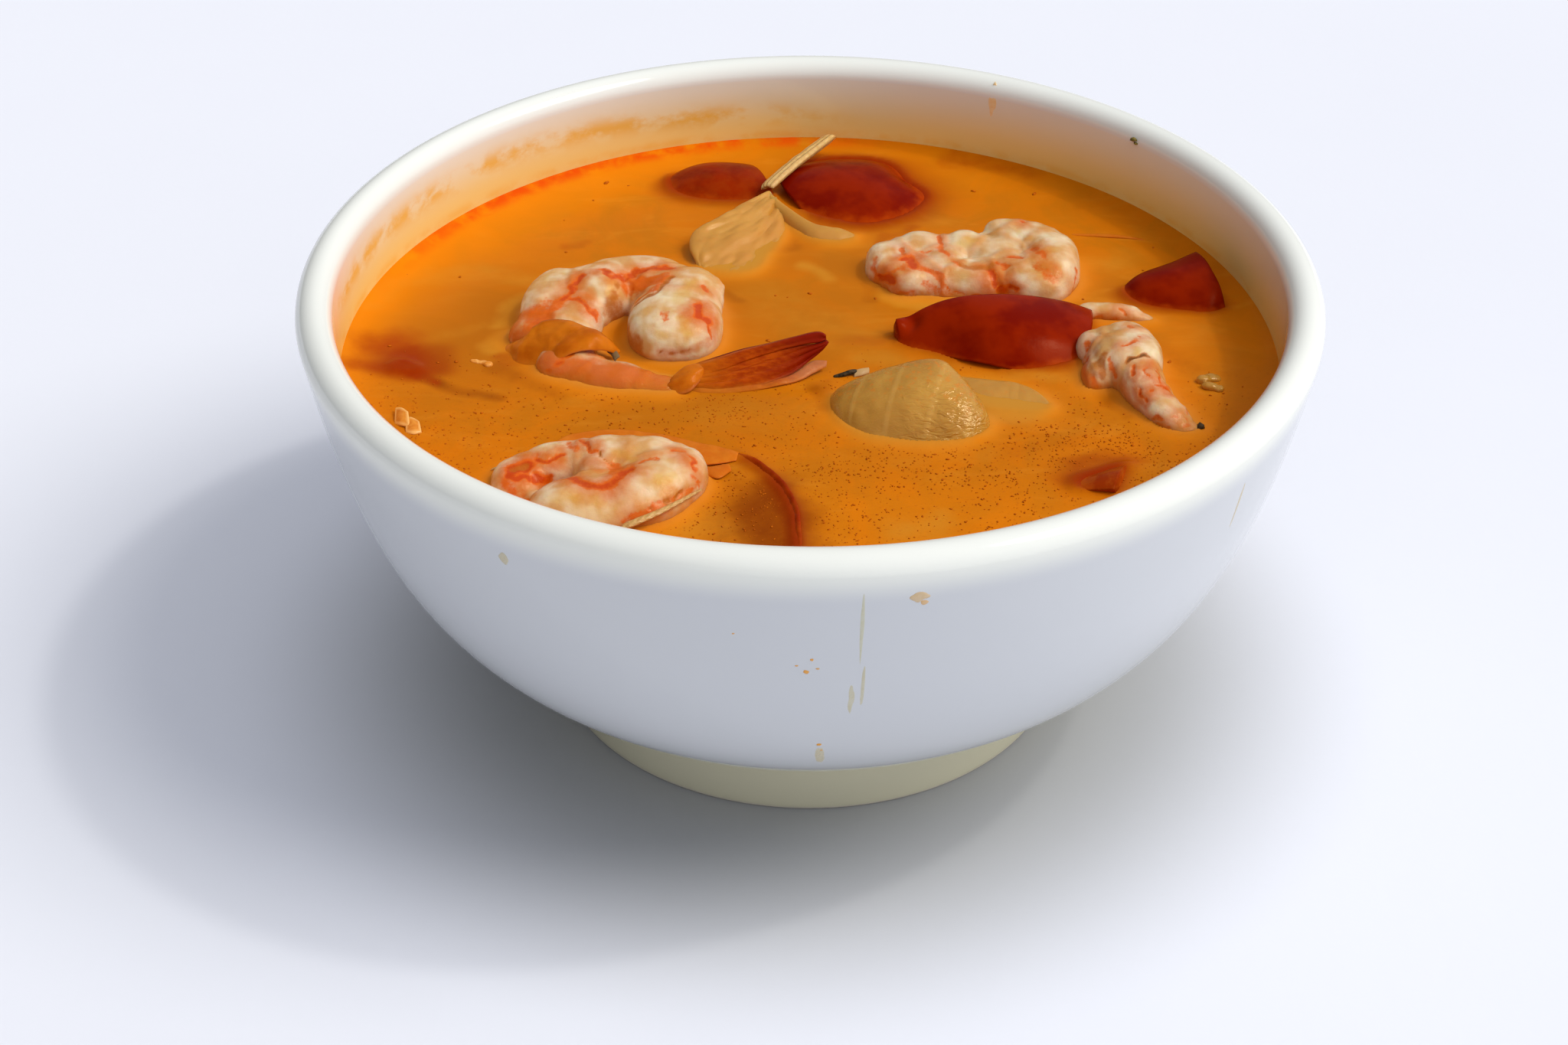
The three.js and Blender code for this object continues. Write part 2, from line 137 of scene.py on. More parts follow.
# Marks painted on the shrimp, by their colour: the radius and strength of each, and the points of
# its line.
MARKS = {
    "shrimp_1": {
        "red": [
            (1.0, 1.0, (-36.8, 21.5, 1.4), (-36.1, 21.8, 1.5)),
            (0.8, 0.9, (-36.6, 13.1, 6.7), (-37.8, 11.5, 6.2), (-38.8, 8.6, 5.5), (-39.5, 7.2, 5.2)),
            (0.7, 0.8, (-38.8, 8.0, 5.3), (-36.8, 7.4, 5.2), (-35.2, 5.4, 4.8), (-34.0, 4.8, 3.8)),
            (1.2, 0.6, (-43.7, 1.4, 4.0), (-42.2, 3.3, 4.3), (-40.8, 5.4, 4.8), (-39.4, 7.2, 5.2)),
            (1.8, 0.42, (-44.5, 1.5, 3.9), (-43.8, 5.1, 4.1), (-41.9, 6.1, 4.9)),
            (0.8, 0.85, (-33.7, 14.3, 6.9), (-31.9, 12.8, 6.6), (-30.1, 13.8, 5.6), (-28.1, 15.3, 5.9),
             (-25.6, 16.1, 6.2), (-22.6, 15.9, 6.3)),
            (2.2, 0.5, (-29.2, 12.7, 4.7), (-26.3, 12.4, 5.4), (-23.7, 12.4, 6.6)),
            (1.0, 0.5, (-27.7, 7.9, 4.9), (-25.6, 9.2, 5.9), (-23.6, 10.7, 6.4)),
            (1.0, 1.0, (-17.4, 3.9, 6.3), (-17.6, 1.2, 6.1), (-16.0, 1.1, 5.2)),
            (0.5, 0.75, (-15.8, 0.3, 4.7), (-15.7, -1.0, 3.4)),
            (0.5, 0.7, (-17.3, 10.2, 6.2), (-16.7, 9.4, 5.7)),
            (0.6, 0.45, (-23.1, 1.4, 6.6), (-22.7, -0.2, 6.2)),
            (0.8, 0.75, (-38.9, -6.7, 2.9), (-37.5, -5.9, 3.1)),
            (0.7, 0.7, (-41.4, -8.1, 0.8), (-40.3, -7.9, 1.8), (-39.1, -7.6, 2.5)),
            (0.5, 0.5, (-43.2, -4.0, 0.7), (-46.2, 0.1, 1.3)),
        ],
        "stain": [
            (0.8, 0.75, (-22.4, 12.3, 6.8), (-23.5, 10.3, 6.4)),
            (0.6, 0.8, (-23.5, 10.3, 6.4), (-25.9, 6.6, 6.2), (-28.1, 6.3, 4.8)),
            (0.8, 0.7, (-31.1, 11.2, 5.8), (-31.7, 8.7, 4.4)),
            (2.2, 0.65, (-31.8, 8.3, 3.2), (-30.7, 9.3, 0.8), (-28.9, 1.3, 2.0), (-27.4, -1.7, 1.8)),
            (0.4, 0.8, (-23.3, -3.8, 2.3), (-23.1, -3.9, 2.1)),
            (0.5, 0.6, (-21.9, -4.0, 2.1), (-20.2, -3.9, 2.4), (-19.0, -3.7, 2.7)),
            (0.7, 0.9, (-33.8, -1.3, 0.8), (-30.6, -4.8, 1.0), (-29.9, -5.4, 1.5)),
        ],
        "amber": [
            (2.0, 0.9, (-27.2, 12.7, 5.0), (-24.4, 12.4, 6.0)),
            (1.0, 0.4, (-23.6, -3.8, 2.0), (-20.8, -3.9, 2.4), (-18.4, -3.5, 2.7), (-15.4, -1.1, 2.5)),
            (3.0, 0.9, (-47.0, 3.5, 1.0), (-45.0, 5.0, 2.5), (-42.5, 3.0, 4.0)),
            (3.6, 0.85, (-45.9, -0.1, 1.4), (-44.6, -0.7, 2.1), (-40.9, -1.4, 3.4), (-36.9, -2.3, 3.1),
             (-33.7, -3.3, 1.7)), (3.0, 1.0, (-41.5, -7.0, 1.0), (-39.5, -5.5, 2.5)),
            (4.6, 0.95, (-38.6, -9.0, 0.7), (-32.5, -10.5, 1.0), (-26.5, -11.0, 0.6), (-20.5, -11.4, 0.3)),
        ],
        "yellow": [
            (1.2, 0.8, (-19.9, -0.4, 6.1), (-19.6, -1.7, 5.4)),
            (1.5, 0.6, (-19.2, 10.1, 6.5), (-21.1, 4.7, 6.7)),
            (0.9, 0.6, (-24.4, -2.5, 4.6), (-23.4, -3.0, 4.4)),
            (1.0, 0.6, (-32.5, 12.5, 6.7), (-31.7, 9.2, 5.1)),
        ],
    },
    "shrimp_2": {
        "red": [
            (1.4, 1.0, (-43.3, -39.9, 3.6), (-41.5, -38.9, 3.6)),
            (0.9, 1.0, (-43.8, -41.2, 3.4), (-42.5, -41.3, 3.3), (-41.3, -41.3, 3.1)),
            (1.2, 0.5, (-44.5, -42.6, 2.7), (-43.1, -43.7, 2.1), (-41.1, -46.2, 1.9)),
            (0.6, 0.9, (-40.6, -37.5, 4.0), (-38.5, -38.3, 4.1), (-36.1, -37.3, 4.3)),
            (0.4, 0.85, (-33.7, -33.9, 4.7), (-32.6, -36.4, 5.4), (-31.6, -38.0, 5.3)),
            (1.0, 0.9, (-40.1, -40.7, 2.6), (-38.4, -40.2, 1.6), (-36.0, -42.8, 4.0), (-33.5, -44.9, 4.9),
             (-31.2, -46.4, 4.9), (-28.5, -45.6, 4.9), (-27.3, -43.5, 5.2), (-25.7, -42.6, 5.6)),
            (1.4, 0.55, (-28.8, -40.2, 4.2), (-27.5, -44.0, 5.1)),
            (0.9, 0.5, (-35.8, -34.5, 4.5), (-34.0, -36.9, 4.7)),
            (0.5, 0.5, (-24.5, -40.6, 5.6), (-22.5, -39.9, 5.7)),
            (0.5, 0.8, (-20.1, -37.5, 5.2), (-18.4, -37.4, 4.9), (-17.5, -39.2, 4.9), (-16.5, -40.7, 4.2)),
            (0.7, 0.5, (-16.8, -42.0, 3.9), (-16.0, -42.3, 2.4)),
            (0.9, 0.5, (-26.1, -50.3, 1.7), (-21.7, -48.2, 2.4), (-16.6, -43.0, 2.5)),
        ],
        "stain": [
            (0.8, 0.6, (-43.3, -39.9, 3.6), (-41.9, -38.9, 3.6)),
            (0.5, 1.0, (-31.0, -38.4, 5.2), (-30.7, -38.9, 5.1)),
            (0.4, 0.7, (-30.0, -39.3, 5.0), (-29.3, -39.9, 4.5)),
            (0.5, 0.75, (-20.4, -47.1, 2.8), (-19.4, -46.0, 3.0), (-17.9, -44.3, 3.0)),
            (0.4, 0.7, (-22.8, -48.6, 2.6), (-22.6, -48.5, 2.5)),
        ],
        "amber": [
            (2.2, 0.45, (-32.4, -40.1, 4.5), (-30.6, -41.1, 4.5)),
        ],
        "yellow": [
            (2.6, 0.35, (-32.5, -49.7, 3.5), (-29.2, -50.0, 3.1)),
            (1.4, 0.6, (-36.1, -48.4, 4.2), (-33.9, -48.1, 4.5)),
            (1.2, 0.6, (-21.8, -44.9, 5.0), (-19.9, -43.6, 4.9)),
            (0.8, 0.6, (-28.3, -38.0, 5.5), (-25.5, -39.4, 5.0)),
        ],
    },
    "shrimp_3": {
        "red": [
            (0.9, 0.95, (15.4, 22.7, 4.3), (16.7, 23.2, 4.3), (17.3, 21.1, 4.3)),
            (0.6, 0.5, (16.0, 21.1, 4.3), (14.4, 20.0, 3.7), (13.5, 19.6, 3.1)),
            (0.8, 1.0, (11.6, 21.2, 1.9), (12.9, 19.7, 2.3), (13.8, 18.6, 2.4)),
            (0.8, 0.6, (17.3, 21.1, 4.3), (19.3, 20.5, 4.0), (21.0, 19.3, 3.3), (21.6, 18.0, 1.9)),
            (0.6, 0.6, (15.2, 26.4, 4.5), (15.6, 23.7, 4.3)),
            (0.5, 0.5, (18.0, 25.5, 4.0), (19.9, 26.1, 4.1), (21.7, 26.7, 4.4)),
            (0.6, 0.65, (21.7, 30.3, 4.6), (21.9, 25.9, 4.6), (23.6, 22.9, 4.2), (24.3, 21.6, 4.1)),
            (0.8, 0.45, (18.9, 33.6, 1.9), (20.2, 33.3, 2.0), (25.0, 33.5, 2.1)),
            (0.8, 0.5, (10.8, 24.3, 4.0), (10.5, 22.0, 2.0), (11.9, 20.8, 0.1), (14.1, 18.0, 0.6),
             (16.9, 17.5, 0.7)), (0.8, 0.95, (29.2, 20.5, 4.2), (29.8, 19.1, 3.7), (30.8, 18.1, 2.5)),
            (0.8, 1.0, (31.4, 17.7, 1.3), (32.6, 17.4, 2.2), (33.6, 16.5, 2.3)),
            (0.6, 0.75, (31.1, 21.6, 4.4), (32.4, 20.1, 4.2)),
            (0.5, 0.75, (32.8, 23.3, 4.9), (34.4, 22.7, 5.0)),
            (0.7, 0.6, (36.9, 24.6, 5.5), (38.0, 22.3, 5.9), (38.6, 21.2, 5.7)),
            (1.2, 0.4, (37.3, 20.1, 5.0), (38.6, 18.0, 4.6), (39.8, 17.0, 3.9)),
            (0.6, 0.75, (35.2, 32.7, 6.1), (37.1, 35.6, 2.2), (38.2, 35.5, 2.2)),
            (0.4, 0.6, (22.9, 17.8, 1.8), (25.6, 17.2, 1.0), (30.7, 17.5, 0.1)),
            (1.0, 0.42, (18.9, 18.0, 2.1), (22.9, 17.3, 0.4)),
            (0.6, 0.45, (44.0, 21.4, 3.5), (43.3, 19.6, 1.6), (42.7, 19.6, -0.7)),
        ],
        "stain": [
            (0.9, 0.65, (24.8, 21.6, 4.1), (27.3, 20.7, 4.2), (30.1, 21.3, 4.3)),
        ],
        "amber": [
            (2.4, 0.5, (36.9, 24.6, 5.5), (38.6, 21.2, 5.7), (39.8, 18.0, 4.4)),
        ],
        "yellow": [
            (2.4, 0.8, (38.0, 22.3, 5.9), (39.6, 18.4, 4.6)),
            (1.2, 0.6, (24.9, 27.7, 4.8), (26.7, 28.3, 5.0)),
            (1.0, 0.5, (33.3, 33.5, 6.0), (34.7, 30.4, 5.9)),
        ],
    },
    "shrimp_4": {
        "red": [
            (0.9, 0.55, (43.6, -2.1, 3.4), (43.7, -4.8, 1.9)),
            (0.7, 0.5, (50.3, -0.8, 5.7), (50.8, -1.5, 5.7)),
            (0.35, 0.8, (50.7, -11.2, 5.0), (50.2, -13.7, 4.5), (50.6, -15.3, 4.0)),
            (0.4, 0.85, (50.6, -15.8, 3.5), (51.2, -17.0, 2.7), (51.9, -18.3, 2.4), (52.2, -17.5, 3.0),
             (52.6, -16.8, 3.4)),
            (0.4, 0.85, (52.1, -12.1, 5.0), (52.5, -14.1, 4.8), (53.4, -15.3, 4.1), (54.6, -15.9, 3.4),
             (55.9, -16.2, 2.8)), (0.35, 0.75, (53.7, -12.2, 4.5), (54.2, -14.9, 3.9)),
            (0.5, 0.65, (52.0, -19.7, 0.7), (54.2, -21.5, 1.6), (56.1, -21.3, 1.8)),
            (0.8, 0.5, (53.2, -21.2, 0.1), (54.8, -22.8, 0.5)),
            (0.6, 0.45, (57.9, -18.7, 1.3), (57.6, -22.3, 1.2)),
            (0.8, 0.5, (43.9, -10.4, 1.8), (45.0, -11.6, -0.4)),
            (0.4, 0.6, (48.8, -6.7, 5.6), (50.8, -6.1, 6.1), (52.1, -4.7, 6.1)),
            (0.5, 0.55, (46.6, -8.9, 4.4), (48.0, -11.1, 2.9)),
        ],
        "stain": [
            (1.0, 0.6, (45.8, -7.5, 4.5), (45.2, -8.5, 3.4), (45.8, -10.0, 2.8)),
            (0.6, 1.0, (49.5, -9.6, 4.8), (50.8, -9.4, 5.1), (52.3, -9.1, 5.2)),
        ],
        "amber": [
            (1.6, 0.45, (48.0, -12.6, 2.6), (49.2, -15.8, 1.0), (51.0, -18.2, 0.0)),
            (1.7, 0.7, (42.6, -4.5, 1.0), (43.2, -9.5, 0.8), (46.2, -13.2, 0.4), (49.0, -17.2, 0.2)),
        ],
        "yellow": [
            (0.8, 0.8, (50.5, -7.9, 5.8), (50.9, -8.5, 5.5)),
        ],
    },
    "shrimp_scrap": {
        "red": [
            (0.6, 0.6, (43.5, 11.2, 0.8), (46.0, 10.3, 0.4), (49.3, 10.3, 0.5)),
            (0.5, 0.6, (50.3, 11.2, 1.9), (51.1, 10.3, 1.3)),
        ],
    },
}

# Tomato wedges: the pole where the skin starts, their heading, pitch and roll, their size, the angles
# between the cut faces and from pole to end, how slanted they are, how much soup films them, and soft
# pushes: where, how wide, and how far.
TOMATO = {
    "tomato_1": {"pole": (12.3, 5, -1), "turn": (6, 24, 23), "half_length": 28, "radius": 16.5,
                 "open": 64, "span": 90, "skew": 0.2, "film": 0, "pushes": [
                     ((14.6, 4.6, 2), 1.7, (-0.9, 0.2, 1.2)), ((16.4, 4.4, 3), 1.6, (0.3, 0, -0.9)),
                     ((20.5, -1.8, 1.9), 7, (0, 1.5, -1.8))]},
    "tomato_2": {"pole": (32.3, 55.5, -18.5), "turn": (180, 0, 0), "half_length": 24,
                 "radius": 22, "open": 76, "span": 112, "skew": -0.1, "film": 0, "pushes": [
                     ((1, 55, 0), 7, (-5.5, 0.5, 0)), ((9, 43.5, 0), 7, (0, -2, -0.4)),
                     ((19, 60, 0), 6, (-1.5, -1.5, -0.5))]},
    "tomato_3": {"pole": (-29, 55.5, -6), "turn": (8, 10, 10), "half_length": 16.5,
                 "radius": 11.5, "open": 84, "span": 100, "skew": -0.3, "film": 0.1, "pushes": []},
    "tomato_4": {"pole": (49, 17.8, -6.5), "turn": (22, -4, 22), "half_length": 16,
                 "radius": 10.5, "open": 84, "span": 96, "skew": 0.1, "film": 0, "pushes": [
                     ((60, 26, 3), 7, (0, -1, -1.2)), ((66, 14, 0), 5, (0.3, -2, 0))]},
    "tomato_5": {"pole": (-72, -4, -8), "turn": (8, -6, 8), "half_length": 11, "radius": 9.5,
                 "open": 70, "span": 120, "skew": 0, "film": 0.95, "pushes": [
                     ((-60, -1, 2), 8, (0, 0, -3.6))]},
    "tomato_6": {"pole": (34.2, -34, -10.5), "turn": (-16, -14, -14), "half_length": 12,
                 "radius": 9.5, "open": 74, "span": 104, "skew": 0, "film": 0.35, "pushes": [
                     ((42, -31, 2), 5, (0, 0, -2.0))]},
}
WEDGE_START = 14

# Marks on the broth, in the same form as those on the shrimp, but in plan.
BROTH_MARKS = {
    "deep": [
        # the first of these darker marks is painted shade on the left, which the sun lights more; the
        # others are darker tones
        (17, 0.8, (-56, 2), (-51, 9)), (13, 0.5, (-15, 13), (-1, 10)), (9, 0.45, (0, 33), (8, 28)),
        (8, 0.35, (-28, -21), (-11, -18)),
    ],
    "pale": [
        (9, 0.35, (-7, 18), (0, 9), (8, 7)), (7, 0.3, (-15, -20), (-2, -16)), (5, 0.4, (49, 30), (53, 32)),
        (4, 0.7, (13, -50), (18, -49)), (5, 0.15, (33, -21), (40, -19)),
        (2.2, 1.0, (12, 19), (19, 16.5), (28, 15.5)), (4.5, 0.6, (-18, -50), (-13, -48), (-11, -50)),
        (3.5, 0.4, (-64, 23), (-53, 26), (-45, 23)), (3, 0.35, (-72, 14), (-64, 26)),
        (3, 0.3, (-61, 4), (-52, 9)), (3.0, 0.7, (62, -8), (64, -9)), (4, 0.35, (14, -31), (27, -29)),
        (2.2, 0.8, (-51, 1), (-49, 4), (-45, 7)), (2.4, 0.8, (-50, 8), (-49, 12), (-46, 18)),
        (2.0, 0.8, (0, 28), (3, 24)), (3.5, 0.5, (9, -2), (14, -2)), (2.5, 0.6, (29, -7), (41, -7)),
    ],
    "amber": [
        (1.6, 0.75, (-62, -8), (-59, -10), (-55, -12), (-49, -14)),
        (5, 1.0, (-5, -41), (-3, -46), (-3, -54)), (6, 0.95, (-7, -42), (-6, -53)),
        (6, 0.5, (-11, -40), (-10, -53)), (2.5, 0.5, (-49, -5), (-44, -9), (-40, -12)),
        (6, 0.15, (76, 34), (74, 8)), (2, 0.5, (10, 28), (10, 17)), (8, 0.22, (-16, -14), (2, -15)),
        (7, 0.2, (-26, -24), (-8, -24)), (6, 0.25, (32, -28), (38, -25)), (4, 0.3, (56, 2), (60, -4)),
        (2, 0.6, (2, -10), (3, -16), (5, -19)), (3, 0.3, (39, -31), (43, -29), (45, -31)),
        (2.0, 0.6, (45, -9), (47, -15), (50, -19)), (2.0, 0.4, (-12, 16), (-14, 18)),
        (2.5, 0.5, (-6, 35), (5, 37)),
    ],
    "rust": [
        (4.2, 0.72, (-70, 2), (-66, 3), (-63, -2)), (3.0, 0.55, (-72, -4), (-67, -5.5), (-62, -8)),
        (1.4, 0.7, (-64, -7), (-61, -9), (-58, -10.5)), (1.8, 0.45, (-41, 35), (-38, 36)),
        (3, 0.35, (5, 5), (10, 4)), (1.5, 0.5, (11, 35), (13, 40), (17, 42)),
        (1.0, 0.6, (-20, -27), (-16, -29), (-10, -30)), (2.0, 0.5, (-49, -1), (-46, -5)),
        (2.5, 0.4, (68, 18), (69, 16)), (4, 0.45, (25, 67), (38, 63)),
        (2.6, 0.4, (49, -31), (44, -29), (40, -30)),
    ],
}

# Spills on the bowl's outer and inner wall: heading round the axis in degrees, height, half width,
# half length, thickness and how orange it is.
OUTER_SPILLS = [
    (-122.5, 65.3, 0.8, 1.4, 0.1, 0.1), (-79.0, 67.3, 1.4, 0.9, 0.16, 0.35),
    (-78.4, 66.2, 0.6, 0.5, 0.1, 0.5), (-90.1, 53.2, 0.45, 0.4, 0.14, 0.9),
    (-89.5, 55.8, 0.25, 0.3, 0.1, 0.9), (-91.1, 54.5, 0.22, 0.2, 0.1, 0.8),
    (-88.9, 53.9, 0.3, 0.2, 0.1, 0.7), (-88.5, 35.0, 0.4, 0.35, 0.14, 1.0),
    (-88.2, 33.2, 0.2, 0.2, 0.1, 0.8), (-84.5, 62.0, 0.35, 7.0, 0.04, 0.0),
    (-84.0, 50.0, 0.3, 6.0, 0.04, 0.05), (-85.2, 47.0, 0.5, 3.5, 0.04, 0.05),
    (-37.3, 63.0, 0.4, 4.2, 0.06, 0.15), (-88.4, 31.5, 0.9, 3.2, 0.05, 0.1),
    (-97.5, 60.5, 0.2, 0.2, 0.08, 0.7),
]
INNER_SPILLS = [
    (64.6, 70.6, 0.9, 3.2, 0.04, 0), (64.9, 72.6, 0.8, 0.6, 0.06, 0), (117.2, 72.6, 1.5, 0.7, 0.06, 0),
    (-134.0, 73.0, 0.6, 0.6, 0.06, 0),
]

# ------------------------------------------------------------------ numbers and noise


def smoothstep(low, high, value):
    t = np.clip((value - low) / (high - low), 0, 1)
    return t * t * (3 - 2 * t)


def lerp(start, end, at):
    return start + (end - start) * at


def unit(vectors):
    return vectors / np.maximum(np.linalg.norm(vectors, axis=-1, keepdims=True), 1e-12)


def lattice(cells, seed):
    """A repeatable number from -1 to 1 for each whole-numbered cell."""
    x, y, z = (cells[..., k].astype(np.int64) for k in range(3))
    mixed = (x * 374761393 + y * 668265263 + z * 974634777 + seed * 362437) & 0xFFFFFFFF
    mixed = ((mixed ^ (mixed >> 13)) * 1274126177) & 0xFFFFFFFF
    return ((mixed ^ (mixed >> 16)) & 0xFFFF) / 32767.5 - 1


def noise(points, size, seed):
    """Smooth noise from -1 to 1 whose bumps are about size across."""
    scaled = np.asarray(points, float) / size
    low = np.floor(scaled)
    t = scaled - low
    t = t * t * (3 - 2 * t)
    total = 0
    for corner in itertools.product((0, 1), repeat=3):
        weight = np.prod(np.where(corner, t, 1 - t), axis=-1)
        total = total + weight * lattice(low + np.array(corner), seed)
    return total


def fractal(points, size, seed):
    """Noise with a second layer on it, of half the size and half the strength."""
    return noise(points, size, seed) + noise(points, size / 2, seed + 7) / 2


def turned(points, turn):
    """Points turned by a roll about X, then a pitch about Y, then a heading about Z."""
    heading, pitch, roll = (math.radians(angle) for angle in turn)
    matrix = Matrix.Rotation(heading, 3, "Z") @ Matrix.Rotation(pitch, 3, "Y")
    matrix = np.array(matrix @ Matrix.Rotation(roll, 3, "X"))
    return points @ matrix.T


# ------------------------------------------------------------------ meshes


def grid_faces(rows, columns, wrap=False):
    """Quads over a grid of points, which closes on itself across the columns if wrap is set."""
    row = np.arange(rows - 1)[:, None] * columns
    column = np.arange(columns if wrap else columns - 1)[None, :]
    after = (column + 1) % columns
    quads = np.stack([row + column, row + after, row + columns + after, row + columns + column], -1)
    return quads.reshape(-1, 4)


def tube(rings):
    """Points and faces of a body of rings, closed by a fan at each end, facing outwards."""
    rows, columns, _ = rings.shape
    points = np.vstack([rings.reshape(-1, 3), rings[0].mean(0), rings[-1].mean(0)])
    side = np.arange(columns)
    after = (side + 1) % columns
    last = (rows - 1) * columns
    start = np.stack([np.full(columns, rows * columns), after, side], -1)
    end = np.stack([np.full(columns, rows * columns + 1), last + side, last + after], -1)
    quads = grid_faces(rows, columns, wrap=True)
    a, b, c = (points[quads[:, k]] for k in range(3))
    if np.sum(np.cross(b - a, c - a) * (a - points.mean(0))) < 0:
        quads, start, end = quads[:, ::-1], start[:, ::-1], end[:, ::-1]
    return points, quads.tolist() + start.tolist() + end.tolist()


def ring_values(values):
    """One value per point of a tube, whose end points take the mean of their ring."""
    return np.concatenate([values.ravel(), [values[0].mean(), values[-1].mean()]])


def make_piece(name, points, faces, material, slot, replaced=(), **attributes):
    """A visible piece, given in millimetres, with one number per point for each attribute."""
    mesh = bpy.data.meshes.new(name)
    mesh.from_pydata((np.asarray(points) * MM).tolist(), [], faces)
    mesh.shade_smooth()
    for key, values in attributes.items():
        layer = mesh.attributes.new(key, "FLOAT", "POINT")
        layer.data.foreach_set("value", np.asarray(values, np.float32))
    mesh.materials.append(material)
    piece = bpy.data.objects.new(name, mesh)
    bpy.context.scene.collection.objects.link(piece)
    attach(piece, "root")
    if replaced:
        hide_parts(*replaced)
    return piece


def joined(parts):
    """Points and faces of several bodies in one."""
    points, faces, start = [], [], 0
    for some_points, some_faces in parts:
        points.append(some_points)
        faces.extend([[start + k for k in face] for face in some_faces])
        start += len(some_points)
    return np.vstack(points), faces


def spline(waypoints, steps):
    """Evenly spaced points on the smooth curve through the waypoints, as the CAD draws it."""
    p = np.asarray(waypoints, float)
    p = np.vstack([2 * p[0] - p[1], p, 2 * p[-1] - p[-2]])
    gap = np.sqrt(np.linalg.norm(np.diff(p, axis=0), axis=1))
    t = np.linspace(0, 1, 60, endpoint=False)[:, None]
    dense = []
    for k in range(1, len(p) - 2):
        before, here, after = gap[k - 1], gap[k], gap[k + 1]
        step = p[k + 1] - p[k]
        out = here * ((p[k] - p[k - 1]) / before - (p[k + 1] - p[k - 1]) / (before + here)) + step
        into = here * ((p[k + 2] - p[k + 1]) / after - (p[k + 2] - p[k]) / (here + after)) + step
        cubic = out * t + (3 * step - 2 * out - into) * t ** 2 + (out + into - 2 * step) * t ** 3
        dense.append(p[k] + cubic)
    dense = np.vstack([*dense, p[-2:-1]])
    length = np.concatenate([[0], np.cumsum(np.linalg.norm(np.diff(dense, axis=0), axis=1))])
    even = np.linspace(0, length[-1], steps + 1)
    return np.stack([np.interp(even, length, dense[:, k]) for k in range(3)], -1)


def distance_to(points, line):
    """Distance from each point to a polyline."""
    line = [np.asarray(p, float) for p in line]
    if len(line) == 1:
        return np.linalg.norm(points - line[0], axis=-1)
    best = np.full(points.shape[:-1], np.inf)
    for a, b in zip(line, line[1:]):
        t = np.clip((points - a) @ (b - a) / ((b - a) @ (b - a)), 0, 1)
        best = np.minimum(best, np.linalg.norm(points - a - t[..., None] * (b - a), axis=-1))
    return best


def painted(points, strokes, wobble=0.6, grain=1.3, seed=0, soft=False):
    """How strongly strokes of paint cover each point. A stroke is a radius, a strength from 0
    to 1 and the points of its line, with heights over the broth. Soft ones have no edge."""
    shift = np.stack([noise(points, grain, seed + k) for k in range(3)], -1)
    moved = points - BROTH_LEVEL * UP + wobble * shift
    cover = np.zeros(points.shape[:-1])
    for radius, strength, *line in strokes:
        reach = distance_to(moved, line)
        if soft:
            edge = np.exp(-(reach / radius) ** 2)
        else:
            edge = 1 - smoothstep(0.3 * radius, 1.35 * radius, reach)
        cover = np.maximum(cover, strength * edge)
    return cover


def pushed(points, pushes):
    """Points moved by a few soft pushes: where, how wide, and how far."""
    for centre, radius, move in pushes:
        near = np.linalg.norm(points - BROTH_LEVEL * UP - np.array(centre, float), axis=-1)
        points = points + np.exp(-(near / radius) ** 2)[..., None] * np.array(move, float)
    return points


# ------------------------------------------------------------------ materials


